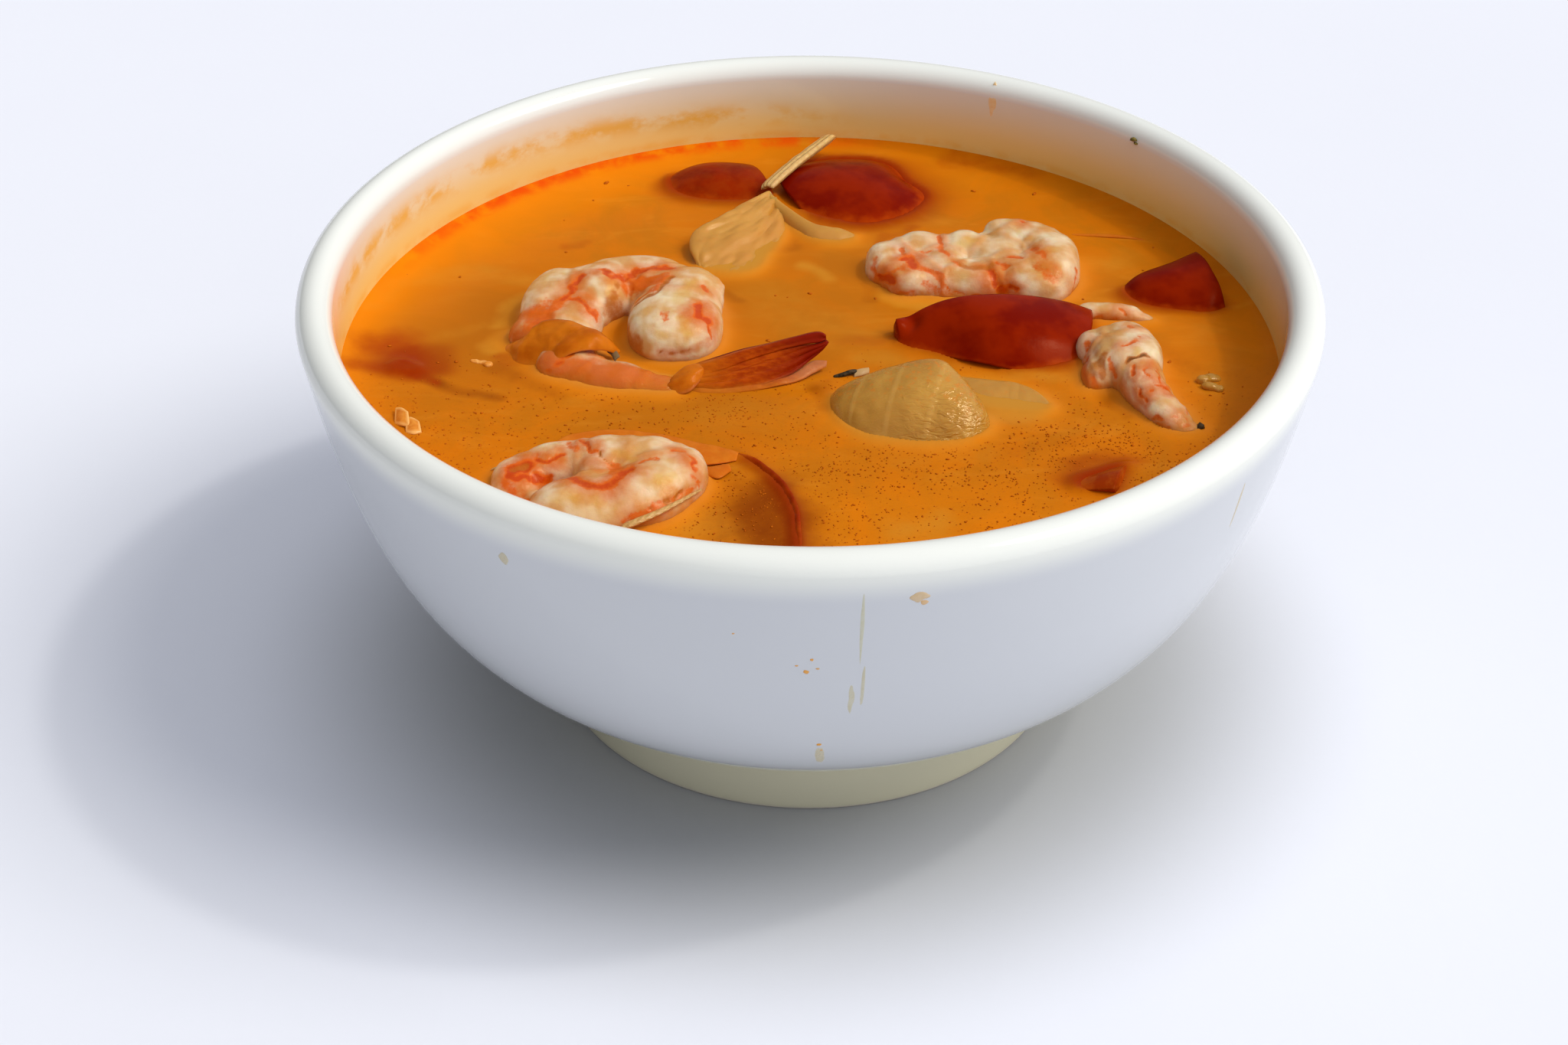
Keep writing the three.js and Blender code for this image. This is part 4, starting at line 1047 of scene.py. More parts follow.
def leaves(name, sheets, material, slot, replaced=()):
    """One piece of several leaves: the rings, u and v of each, and its marks, which are numbers or
    functions of u and v."""
    def values(key, u, v, paint):
        value = paint.get(key, 0)
        return ring_values(value(u, v) if callable(value) else np.full(u.shape, float(value)))

    points, faces = joined([tube(rings) for (rings, u, v), paint in sheets])
    keys = dict.fromkeys(key for sheet, paint in sheets for key in paint)
    marks = {key: np.concatenate([values(key, u, v, paint) for (rings, u, v), paint in sheets])
             for key in keys}
    return make_piece(name, points, faces, material, slot, replaced, **marks)


# ------------------------------------------------------------------ tomato


def build_wedge(name, seed):
    """A wedge of tomato, cut open on two sides and rounded from its pole to its end."""
    spec = TOMATO[name]
    rows, arc_steps, face_steps = 90, 48, 16
    turn = np.radians(np.linspace(WEDGE_START, spec["span"], rows + 1))
    reach = spec["radius"] * np.sin(turn)
    along = spec["half_length"] * (1 - np.cos(turn))
    half_open = math.radians(spec["open"]) / 2
    # round the section: out along one cut face, over the skin, and back along the other
    out = np.linspace(0.02, 0.97, face_steps)
    radial = np.concatenate([out, np.ones(arc_steps + 1), out[::-1]])
    angle = np.concatenate([np.full(face_steps, -half_open),
                            np.linspace(-half_open, half_open, arc_steps + 1) * 0.995,
                            np.full(face_steps, half_open)])
    skin = np.concatenate([np.zeros(face_steps), np.ones(arc_steps + 1), np.zeros(face_steps)])
    sideways = reach[:, None] * radial * np.sin(angle)
    up = reach[:, None] * radial * np.cos(angle)
    slant = spec["skew"] * np.linspace(0, 1, rows + 1)[:, None] * sideways
    rings = np.stack([along[:, None] + slant, sideways, up], -1)
    # the flesh has sunk a little between the skin and the core
    hollow = (1 - skin) * np.sin(math.pi * radial) * 0.05 * reach[:, None]
    rings[..., 1] -= hollow * np.sign(angle) * math.cos(half_open)
    rings[..., 2] += hollow * math.sin(half_open)
    rings = turned(rings, spec["turn"]) + np.array(spec["pole"], float) + BROTH_LEVEL * UP
    middle = rings.mean((0, 1))
    rough = 0.25 * fractal(rings, 7, seed) + 0.12 * (1 - skin) * fractal(rings, 1.3, seed + 5)
    rings = pushed(rings + rough[..., None] * unit(rings - middle), spec["pushes"])
    points, faces = tube(rings)
    skin = np.broadcast_to(skin, rings.shape[:2]).copy()
    return make_piece(f"{name}_wedge", points, faces, TOMATO_SKIN, "tomato", [name],
                      skin=ring_values(skin), film=np.full(len(points), float(spec["film"])))


# ------------------------------------------------------------------ petals


def onion_petal(top, bottom, ribs, bulge, thickness, wave, seed, fleck=1.0, peach=0.0, wrinkled=0.0,
                relief=None, round_ends=0.0):
    """A petal's sheet and marks. Its ribs fan from the top curve to the bottom one."""
    def lines(u, v):
        return smoothstep(0.86, 1.0, np.cos(2 * math.pi * ribs * (u + 0.04 * v)))

    def rise(u, v):
        return 0.02 * lines(u, v) + (relief(u, v) if relief else 0)

    sheet = patch(top, bottom, bulge, thickness, wave, seed, relief=rise, rows=140, columns=70,
                  round_ends=round_ends)
    return sheet, {
        "rib": lines,
        "flecked": lambda u, v: fleck * smoothstep(0.6, -0.8, v),
        "peach": lambda u, v: peach * (0.4 + 0.6 * smoothstep(-0.2, 1, v + 0.6 * u)),
        "wrinkled": lambda u, v: wrinkled * smoothstep(0.35, 0.6, u) * smoothstep(-0.7, -0.1, v)}


# ------------------------------------------------------------------ the broth


def disc_grid(cells):
    """An even grid of a unit disc, and the order of the points round its edge."""
    a, b = np.meshgrid(np.linspace(-1, 1, cells + 1), np.linspace(-1, 1, cells + 1), indexing="ij")
    wide = np.abs(a) > np.abs(b)
    radius = np.where(wide, a, b)
    safe_a, safe_b = np.where(a == 0, 1, a), np.where(b == 0, 1, b)
    angle = np.where(wide, math.pi / 4 * b / safe_a, math.pi / 2 - math.pi / 4 * a / safe_b)
    angle = np.where(radius == 0, 0, angle)
    points = np.stack([radius * np.cos(angle), radius * np.sin(angle)], -1).reshape(-1, 2)
    index = np.arange((cells + 1) ** 2).reshape(cells + 1, cells + 1)
    edge = np.concatenate([index[:-1, 0], index[-1, :-1], index[:0:-1, -1], index[0, :0:-1]])
    return points, grid_faces(cells + 1, cells + 1), edge


def tree_of(pieces):
    points, faces = joined([
        (np.array([v.co for v in p.data.vertices]) / MM, [list(f.vertices) for f in p.data.polygons])
        for p in pieces])
    return BVHTree.FromPolygons(points.tolist(), faces), points


def depth_to(tree, places):
    """How far under each place on the broth the tree's highest surface is, 0 where it pokes out."""
    far = 30.0
    depths = np.full(len(places), far)
    for k, (x, y) in enumerate(places):
        hit = tree.ray_cast(Vector((x, y, BROTH_LEVEL + far)), DOWN, 2 * far)
        if hit[0] is not None:
            depths[k] = max(BROTH_LEVEL - hit[0].z, 0)
    return depths


def softened(values):
    """Values on the square grid of the broth, blurred with their neighbours."""
    grid = values.reshape(BROTH_CELLS + 1, BROTH_CELLS + 1)
    for _ in range(10):
        wide = np.pad(grid, 1, mode="edge")
        grid = (wide[:-2, 1:-1] + wide[2:, 1:-1] + wide[1:-1, :-2] + wide[1:-1, 2:] + 2 * grid) / 6
    return grid.ravel()


def nearest(points, places):
    """The level distance from each place to the nearest of the points."""
    finder = KDTree(len(points))
    for k, point in enumerate(points):
        finder.insert((point[0], point[1], 0), k)
    finder.balance()
    return np.array([finder.find((x, y, 0))[2] for x, y in places])


def build_broth(groups):
    """The broth's surface, which climbs a little up whatever stands in it, and the body under it.
    groups holds the pieces that are seen through it, by what they are."""
    flat, quads, edge = disc_grid(BROTH_CELLS)
    radius = BROTH_RADIUS + WALL_BITE
    places = flat * radius
    from_wall = BROTH_RADIUS - np.linalg.norm(places, axis=1)
    height = WALL_CLIMB * np.exp(-np.clip(from_wall, 0, None) / WALL_SPREAD)
    spots = np.column_stack([places, np.full(len(places), BROTH_LEVEL)])
    height += 0.05 * fractal(spots, 16, 5)
    shown = {}
    crowd = []
    for key, pieces in groups.items():
        tree, points = tree_of(pieces)
        depth = depth_to(tree, places)
        shown[key] = softened(np.exp(-depth / SUNK_DEPTH[key]))
        line = points[np.abs(points[:, 2] - BROTH_LEVEL) < 0.35]
        crowd.append(line)
        away = nearest(line, places)
        if key == "tomato":  # its edge is blurred by the broth
            shown[key] = np.maximum(shown[key], 0.3 * np.exp(-away / 1.5))
        else:  # light that shines through the topping warms the broth round it
            # painted light: the broth is brightened round the topping, which also lifts the shadow the
            # topping casts
            shown["painted_glow"] = np.maximum(shown.get("painted_glow", 0), np.exp(-(away / 2.2) ** 2))
    reach = nearest(np.vstack(crowd), places)
    height += TOPPING_CLIMB * np.exp(-reach / TOPPING_SPREAD)
    top = np.column_stack([places, BROTH_LEVEL + height])
    # down the wall, just inside it, to the floor
    wall = inner_wall(12)[1:-1]
    direction = unit(flat[edge])
    rings = [np.column_stack([direction * (r + WALL_BITE), np.full(len(edge), z - 0.3)]) for r, z in wall]
    points = np.vstack([top, *rings, [(0, 0, FLOOR_HEIGHT - 0.3)]])
    faces = quads.tolist()
    count = len(edge)
    loops = [edge] + [np.arange(count) + len(top) + k * count for k in range(len(wall))]
    for upper, lower in zip(loops, loops[1:]):
        faces += np.stack([upper, lower, np.roll(lower, -1), np.roll(upper, -1)], -1).tolist()
    last = loops[-1]
    faces += np.stack([last, np.full(count, len(points) - 1), np.roll(last, -1)], -1).tolist()
    extra = len(points) - len(top)
    x, y = places.T
    angle = np.degrees(np.arctan2(y, x))
    size = np.hypot(x, y)
    bright = 0.75 * smoothstep(30, -45, x) * smoothstep(-25, 25, y) * smoothstep(52, 73, size)
    bright += 0.5 * smoothstep(-62, -74, x) + 0.3 * smoothstep(-28, -50, y)
    bright += 0.35 * smoothstep(48, 64, y) * smoothstep(0, 25, x)
    bright += 0.25 * smoothstep(50, 62, x) * smoothstep(30, 10, y)
    oil = smoothstep(70.5, 73.6, size) * smoothstep(72, 100, angle) * smoothstep(170, 140, angle)
    grainy = 0.75 * smoothstep(5, -15, y)
    zones = {"bright": bright, "oil": oil, "grainy": grainy, **shown}
    for kind, marks in BROTH_MARKS.items():
        strokes = [(radius, strength, *((x, y, 0) for x, y in line)) for radius, strength, *line in marks]
        zones[kind] = painted(spots, strokes, 1.5, 5, soft=True)
    zones = {key: np.concatenate([values, np.zeros(extra)]) for key, values in zones.items()}
    return make_piece("broth_surface", points, faces, BROTH, "broth", ["broth"], **zones)


# ------------------------------------------------------------------ scraps, specks and spills


def grain_mesh():
    """The twelve points and twenty faces of a round grain."""
    golden = (1 + math.sqrt(5)) / 2
    points = unit(np.array([(a, b * golden, 0) for a in (-1, 1) for b in (-1, 1)]
                           + [(0, a, b * golden) for a in (-1, 1) for b in (-1, 1)]
                           + [(b * golden, 0, a) for a in (-1, 1) for b in (-1, 1)], float))
    faces = []
    edge = min(np.linalg.norm(points[0] - p) for p in points[1:]) * 1.05
    for three in itertools.combinations(range(12), 3):
        a, b, c = points[list(three)]
        if max(np.linalg.norm(a - b), np.linalg.norm(b - c), np.linalg.norm(c - a)) < edge:
            outwards = np.dot(np.cross(b - a, c - a), a) > 0
            faces.append(three if outwards else three[::-1])
    return points, faces


def grains(name, places, sizes, material, seed, squash=0.5):
    """Uneven grains of the given sizes, lying at the given places."""
    random = np.random.default_rng(seed)
    ball, faces = grain_mesh()
    bodies = []
    for place, size in zip(places, sizes):
        turn = random.uniform(0, 360)
        shape = ball * random.uniform(0.7, 1.3, (12, 1)) * np.array([random.uniform(1, 1.9), 1, squash])
        bodies.append((turned(shape, (turn, 0, 0)) * size / 2 + np.asarray(place), faces))
    points, all_faces = joined(bodies)
    return make_piece(name, points, all_faces, material, "broth")


def scatter(count, density, blocked, seed):
    """Seeded places on the broth, picked by a density from 0 to 1, clear of what pokes through."""
    margin = 1.2
    random = np.random.default_rng(seed)
    places = []
    while len(places) < count:
        x, y = random.uniform(-BROTH_RADIUS, BROTH_RADIUS, 2)
        if math.hypot(x, y) > BROTH_RADIUS - margin or random.uniform() > density(x, y):
            continue
        if blocked.ray_cast(Vector((x, y, BROTH_LEVEL + 20)), DOWN, 20.1)[0] is None:
            places.append((x, y, BROTH_LEVEL + 0.06))
    return places


def scrap(name, lobes, material, slot, seed, lump=0.12):
    """A small lumpy scrap of grown-together lobes."""
    parts = [lobe_mesh(lobe, 14, 20, lump, seed + k) for k, lobe in enumerate(lobes)]
    points, faces, normals = fused(parts, voxel=0.16, smoothing=10)
    points = points + (0.10 * fractal(points, 0.9, seed))[:, None] * normals
    return make_piece(name, points, faces, material, slot)


def strand(name, line, widths, material, slot, rows=60, columns=12):
    """A thin fibre along a line with heights over the broth, half as thick as it is wide."""
    rings = core_rings(line, widths, [width / 2 for width in widths], rows, columns)
    points, faces = tube(rings)
    threads = np.abs(np.sin(np.arange(rings[..., 0].size)).reshape(rings.shape[:2]))
    return make_piece(name, points, faces, material, slot, strand=ring_values(threads))


def spills(name, table, profile, outward, material, seed):
    """Dried drops and runs that follow the wall. profile gives its radii and heights, and outward
    is 1 on its outer side and -1 on its inner one."""
    order = np.argsort(profile[:, 1])
    heights, radii = profile[order, 1], profile[order, 0]
    share = np.linspace(1, 0.06, 7)[:, None]
    angle = np.linspace(0, 2 * math.pi, 24, endpoint=False)[None, :]
    bodies, marks = [], []
    for k, (heading, height, wide, long, thick, orange) in enumerate(table):
        rim = np.stack([np.cos(angle) * 1.3, np.sin(angle) * 1.3, np.full(angle.shape, 9.0 * k)], -1)
        uneven = 1 + 0.28 * fractal(rim, 1.1, seed + k)
        sideways = wide * share * uneven * np.cos(angle)
        z = height + long * share * uneven * np.sin(angle)
        radius = np.interp(z, heights, radii)
        turn = math.radians(heading) + sideways / radius
        lift = thick * (1 - share ** 2) ** 0.6 * np.ones(angle.shape)
        layers = []
        for off in (np.full(lift.shape, -0.15), lift - 0.02):
            r = radius + outward * off
            layers.append(np.stack([r * np.cos(turn), r * np.sin(turn), z], -1))
        bodies.append(tube(np.concatenate([layers[0][::-1], layers[1]])))
        marks.append(np.full(len(bodies[-1][0]), float(orange)))
    points, faces = joined(bodies)
    return make_piece(name, points, faces, material, "broth", mark=np.concatenate(marks))


# ------------------------------------------------------------------ assembly

build_bowl()

SHRIMP_SKIN = {"voxel": 0.34, "smoothing": 80}
SCRAP_SKIN = {"voxel": 0.2, "smoothing": 12}
shrimps = [build_shrimp(name, seed=3 + 7 * k, **(SCRAP_SKIN if name == "shrimp_scrap" else SHRIMP_SKIN))
           for k, name in enumerate(LOBES)]


def grooves(count, depth, slant=0.0):
    """The relief of grooves that run along a leaf."""
    return lambda u, v: depth * np.cos(math.pi * count * (v + slant * u))


def amber_root(u, v):
    """The amber at the root of a tail leaf."""
    return 0.6 * smoothstep(0.4, 0, u)


leaves("shrimp_1_tail_fan", [
    (patch(
        ((-18.2, -9.2, 0.8), (-14.0, -8.1, 1.4), (-9.8, -6.7, 2.4), (-5.7, -5.4, 3.2),
         (-1.5, -4.6, 4.0), (1.8, -4.3, 4.5), (2.7, -3.9, 4.7)),
        ((-19.9, -11.1, 0.0), (-15.1, -12.2, 0.0), (-10.4, -11.6, 0.1), (-6.2, -10.2, 0.5),
         (-2.6, -8.2, 1.0), (0.0, -5.9, 2.0), (1.9, -4.6, 3.3), (2.8, -3.9, 4.4)),
        bulge=0.5, thickness=0.5, wave=0.04, seed=61, relief=grooves(3.2, 0.16, 0.4)),
     {"crimson": lambda u, v: smoothstep(0.45, 0.9, u + 0.1 * v), "amber": amber_root,
      "dark": lambda u, v: 0.5 * smoothstep(-0.8, -0.97, v),
      "pale": lambda u, v: 0.25 * smoothstep(0.88, 1, v)}),
    (patch(
        ((-18.9, -6.7, 1.4), (-15.3, -6.0, 2.4), (-11.1, -5.0, 3.4), (-6.9, -4.4, 4.2),
         (-2.1, -3.3, 5.0), (1.5, -2.5, 5.4), (2.6, -3.5, 5.4)),
        ((-18.2, -9.6, 1.0), (-14.0, -8.5, 1.6), (-9.8, -7.1, 2.6), (-5.7, -5.8, 3.4),
         (-1.5, -5.0, 4.2), (1.8, -4.6, 4.6), (2.7, -4.1, 4.8)),
        bulge=0.4, thickness=0.5, wave=0.04, seed=62, relief=grooves(1.6, 0.14, 0.2)),
     {"crimson": lambda u, v: smoothstep(0.4, 0.85, u - 0.1 * v), "amber": amber_root,
      "dark": lambda u, v: (smoothstep(-0.5, -0.9, v) * smoothstep(0.02, 0.2, u)
                            * smoothstep(0.85, 0.6, u))}),
    (patch(
        ((-19.7, -11.0, 0.1), (-14.5, -11.7, 0.3), (-9.8, -11.1, 0.4), (-5.6, -9.8, 0.6),
         (-2.0, -7.4, 1.0), (0.6, -5.0, 1.4), (2.8, -4.8, 1.4)),
        ((-19.7, -11.9, -0.3), (-14.5, -12.5, -0.2), (-9.8, -11.9, -0.1), (-5.4, -10.7, 0.1),
         (-1.4, -9.0, 0.3), (1.1, -6.9, 0.6), (2.7, -5.8, 0.9)),
        bulge=0.15, thickness=0.35, wave=0.15, seed=63),
     {"amber": lambda u, v: 0.5 * smoothstep(0.5, 0.2, u),
      "dark": lambda u, v: 0.6 * smoothstep(-0.4, -1, v) * smoothstep(0.7, 1, u),
      "pale": lambda u, v: 0.12 + 0.55 * smoothstep(0.6, 0.85, u)}),
    (patch(
        ((-22.1, -10.8, 0.4), (-20.9, -9.2, 1.4), (-19.2, -8.0, 2.2), (-17.4, -7.5, 2.2),
         (-16.8, -8.2, 1.8)),
        ((-22.1, -11.9, -0.2), (-20.3, -13.1, 0.0), (-18.4, -12.9, 0.6), (-17.1, -10.8, 1.0),
         (-16.6, -9.0, 1.4)),
        bulge=0.5, thickness=0.5, wave=0.08, seed=64, relief=grooves(1.6, 0.1)),
     {"crimson": lambda u, v: 0.3 * smoothstep(0.5, 1, v), "amber": 0.7,
      "pale": lambda u, v: 0.25 * smoothstep(0.75, 1, np.abs(v))}),
], SHELL, "shrimp", ["shrimp_1"])

leaves("shrimp_1_shell_flap", [
    (patch(
        ((-49.2, 2.1, -0.4), (-47.0, 1.4, 1.0), (-44.7, 1.0, 3.2), (-42.0, 1.5, 4.8), (-38.6, 1.1, 5.2),
         (-34.8, -0.8, 4.8), (-31.8, -1.3, 3.0), (-30.2, -2.1, 1.4)),
        ((-49.8, -1.7, -2.4), (-46.6, -5.3, -2.8), (-43.0, -7.4, -1.4), (-40.3, -7.0, 1.6),
         (-37.5, -6.3, 3.2), (-34.5, -5.4, 3.5), (-32.2, -4.2, 2.6), (-30.2, -3.2, 1.2)),
        bulge=0.6, thickness=0.3, wave=0.28, seed=65, rows=110),
     {"crimson": lambda u, v: 0.12 * smoothstep(0.3, 0.8, v), "amber": 0.9,
      # painted highlight: the pale line along the flap's lower right edge
      "pale": lambda u, v: 0.35 * smoothstep(0.9, 1.0, v) * smoothstep(0.55, 0.75, u)}),
], SHELL, "shrimp", ["shrimp_1"])

tomatoes = [build_wedge(name, seed=30 + k) for k, name in enumerate(TOMATO)]
tomatoes.append(leaves("tomato_7_skin", [
    (patch(
        ((-10.5, -30.4, 0.5), (-8.2, -32.0, 0.8), (-5.8, -35.1, 0.9), (-3.1, -40.0, 0.9),
         (-1.6, -45.1, 0.8), (-1.0, -50.5, 0.7), (-0.9, -56.4, 0.4)),
        ((-11.5, -33.0, -4.0), (-9.4, -34.0, -4.5), (-7.4, -37.0, -5.0), (-5.4, -41.5, -5.5),
         (-4.2, -46.0, -5.5), (-3.6, -51.0, -5.0), (-3.4, -56.0, -4.5)),
        bulge=0.3, thickness=0.9, wave=0.12, seed=44, rows=120),
     {"skin": 1, "film": lambda u, v: 0.15 + 0.8 * smoothstep(0.12, 0.0, u)})],
    TOMATO_SKIN, "tomato", ["tomato_7"]))


def folds(u, v):
    """Shallow folds that run along a petal."""
    return 0.36 * fractal(np.stack([6 * u, 3.6 * v + 2 * u, 0 * u], -1), 1.0, 77)


onions = [
    leaves("onion_1_petal", [onion_petal(
        ((3.3, -13.6, -0.2), (5.1, -12.9, 1.3), (8.1, -12.3, 2.8), (12.8, -12.0, 4.6),
         (17.5, -12.0, 6.0), (20.5, -12.5, 6.2), (22.8, -14.7, 5.2), (25.0, -17.0, 3.2),
         (27.0, -19.4, -0.2)),
        ((4.6, -19.0, -1.6), (6.2, -22.8, -2.4), (9.2, -25.8, -2.7), (12.6, -27.0, -2.8),
         (17.0, -27.5, -2.8), (21.6, -27.0, -2.7), (24.9, -25.3, -2.4), (27.2, -21.6, -1.6)),
        ribs=5, bulge=3.2, thickness=1.2, wave=0.12, seed=51, wrinkled=1.0, round_ends=1.0)
    ], ONION, "onion", ["onion_1"]),
    leaves("onion_2_petal", [onion_petal(
        ((23.0, -7.4, 0.2), (26.2, -8.5, 0.5), (29.1, -9.1, 0.6), (32.1, -9.8, 0.6), (34.4, -11.2, 0.5),
         (36.3, -13.5, 0.4), (37.6, -16.0, 0.0)),
        ((24.3, -17.1, -1.6), (27.5, -20.5, -1.8), (31.6, -21.2, -1.9), (35.2, -20.0, -1.6),
         (37.6, -16.6, -1.0)),
        ribs=2, bulge=0.25, thickness=1.0, wave=0.08, seed=52, fleck=0.5, peach=0.8)
    ], ONION, "onion", ["onion_2"]),
    leaves("onion_3_petal", [
        onion_petal(
            ((-7.4, 49.8, 2.6), (-11.0, 45.2, 3.1), (-15.4, 39.1, 3.2), (-19.8, 34.5, 2.6),
             (-20.2, 31.0, 1.6), (-18.6, 26.9, 0.5)),
            ((-4.8, 47.8, 0.8), (-4.3, 43.2, 0.4), (-4.6, 38.1, 0.0), (-6.4, 32.0, -0.5),
             (-9.3, 25.2, -0.7), (-16.3, 24.9, -0.8)),
            ribs=1, bulge=0.1, thickness=0.7, wave=0.1, seed=53, fleck=0.2, peach=1.0, relief=folds),
        onion_petal(
            ((-7.4, 50.2, 2.4), (-3.7, 45.2, 1.8), (0.9, 40.2, 1.4), (5.4, 39.3, 0.9),
             (7.8, 38.5, 0.2)),
            ((-6.3, 46.6, 0.5), (-2.8, 41.0, -0.3), (0.9, 36.6, -0.7), (4.8, 35.8, -0.8),
             (7.3, 36.6, -0.9)),
            ribs=1, bulge=0.5, thickness=0.7, wave=0.15, seed=54, fleck=0, peach=0.9),
    ], ONION, "onion", ["onion_3"]),
]

leaves("lemongrass_strip", [
    (patch(
        ((4.6, 69.0, 3.4), (-1.4, 59.0, 3.3), (-6.4, 50.6, 2.9)),
        ((2.4, 69.6, 2.7), (-3.6, 59.8, 2.6), (-8.6, 51.3, 2.2)),
        bulge=0.5, thickness=1.3, wave=0.08, seed=67),
     {"strand": lambda u, v: smoothstep(0.2, 0.9, np.cos(v * 14 + 1.5 * u))}),
], STRAW, "lemongrass", ["lemongrass"])

build_broth({"tomato": tomatoes, "shrimp": shrimps, "onion": onions})
toppings, _ = tree_of([*tomatoes, *shrimps, *onions])


def front_density(x, y):
    """How thickly the specks lie: in patches over the front half, and thinly near the front rim."""
    patchy = 0.35 + 0.65 * smoothstep(-0.4, 0.5, fractal(np.array([[x, y, 0.0]]), 14, 81))[0]
    clear = 0.75 * math.exp(-((x - 18) / 17) ** 2 - ((y + 47) / 13) ** 2)
    front = smoothstep(4, -24, y) * smoothstep(-64, -48, y) * smoothstep(74, 55, abs(x))
    return float(patchy * (1 - clear) * front)


def anywhere(x, y):
    return 0.25 + 0.75 * front_density(x, y)


FINE_SPECKS, COARSE_SPECKS = 3600, 90
random = np.random.default_rng(82)
fine_sizes = 0.12 + 0.22 * random.uniform(0, 1, FINE_SPECKS) ** 2
grains("fine_specks", scatter(FINE_SPECKS, front_density, toppings, 83), fine_sizes, SPECK, seed=84)
coarse_sizes = 0.28 + 0.42 * random.uniform(0, 1, COARSE_SPECKS) ** 3
grains("coarse_specks", scatter(COARSE_SPECKS, anywhere, toppings, 85), coarse_sizes, SPECK, seed=86)
grains("peppercorn", [(59.9, -22.1, BROTH_LEVEL + 0.5)], [1.6], DARK, seed=87, squash=0.9)


def flake_edge(u, v):
    """The pale rim of a flake."""
    return smoothstep(0.5, 0.9, np.maximum(np.abs(2 * u - 1), np.abs(v)))


leaves("left_chips", [
    (patch(
        ((-63.6, -18.4, 0.6), (-62.6, -19.4, 1.3), (-61.4, -20.8, 1.4)),
        ((-63.4, -22.0, -0.2), (-62.2, -23.0, 0.2), (-60.8, -23.6, 0.3)),
        bulge=0.1, thickness=0.4, wave=0.1, seed=91, rows=30, columns=20),
     {"mark": flake_edge}),
    (patch(
        ((-61.8, -20.8, 0.5), (-60.8, -21.4, 0.8), (-59.6, -22.2, 0.5)),
        ((-61.4, -24.6, -0.1), (-60.2, -25.2, 0.1), (-59.0, -24.6, 0.0)),
        bulge=0.1, thickness=0.4, wave=0.1, seed=92, rows=30, columns=20),
     {"mark": flake_edge}),
], FLAKE, "shrimp")
scrap("right_pulp", [((61.8, -8.2, 0.4), (1.1, 0.9, 0.8), 10), ((62.5, -10.0, 0.3), (1.4, 0.8, 0.6), -12),
                     ((64.0, -10.6, 0.2), (0.8, 0.7, 0.6)), ((63.5, -7.2, 0.1), (1.4, 1.0, 0.6))],
      ONION, "onion", seed=92, lump=0.25)
scrap("pink_scrap", [((-52.2, -3.7, 0.0), (1.6, 0.6, 0.35), -18), ((-50.7, -4.5, 0.1), (0.8, 0.7, 0.45))],
      CHIP, "shrimp", seed=93)
leaves("mushroom_scrap", [
    (patch(
        ((3.8, -7.2, 0.1), (5.2, -7.0, 0.5), (6.6, -6.5, 0.8), (7.5, -6.3, 0.7)),
        ((3.9, -7.6, -0.2), (5.3, -7.4, 0.1), (6.6, -7.0, 0.2), (7.5, -6.8, 0.2)),
        bulge=0.15, thickness=0.35, wave=0.1, seed=94, rows=40, columns=16), {}),
    (patch(
        ((7.2, -6.2, 0.5), (8.2, -6.0, 0.7), (9.4, -5.3, 0.4)),
        ((7.0, -7.5, 0.0), (8.2, -7.2, 0.1), (9.4, -6.3, 0.0)),
        bulge=0.15, thickness=0.35, wave=0.1, seed=98, rows=30, columns=16), {"mark": 1}),
], DARK, "onion")
leaves("vein_scrap", [(patch(
    ((-31.6, -1.2, 1.6), (-30.6, -2.8, 1.9), (-29.8, -4.4, 1.6)),
    ((-32.0, -2.0, 1.0), (-31.2, -3.6, 1.3), (-30.6, -5.0, 1.0)),
    bulge=0.2, thickness=0.4, wave=0.15, seed=95, rows=30, columns=16), {"mark": 0.35})],
       DARK, "shrimp")
strand("pale_fibre", ((-15.6, -42.2, 1.8), (-18.5, -45.9, 2.2), (-21.5, -49.0, 2.3), (-24.4, -50.9, 2.0),
                      (-27.1, -51.8, 1.2)), (0.25, 0.5, 0.8), STRAW, "lemongrass")
strand("fine_fibre", ((-47.4, -35.3, 0.4), (-46.2, -35.0, 0.7), (-45.0, -35.4, 0.6)), (0.12, 0.2, 0.1),
       STRAW, "lemongrass", rows=24, columns=8)
strand("red_thread", ((44.6, 39.7, 0.0), (49.8, 39.2, 0.12), (54, 38.7, 0.1), (57.2, 38.0, -0.1)),
       (0.3, 0.55, 0.25), FILM, "tomato")
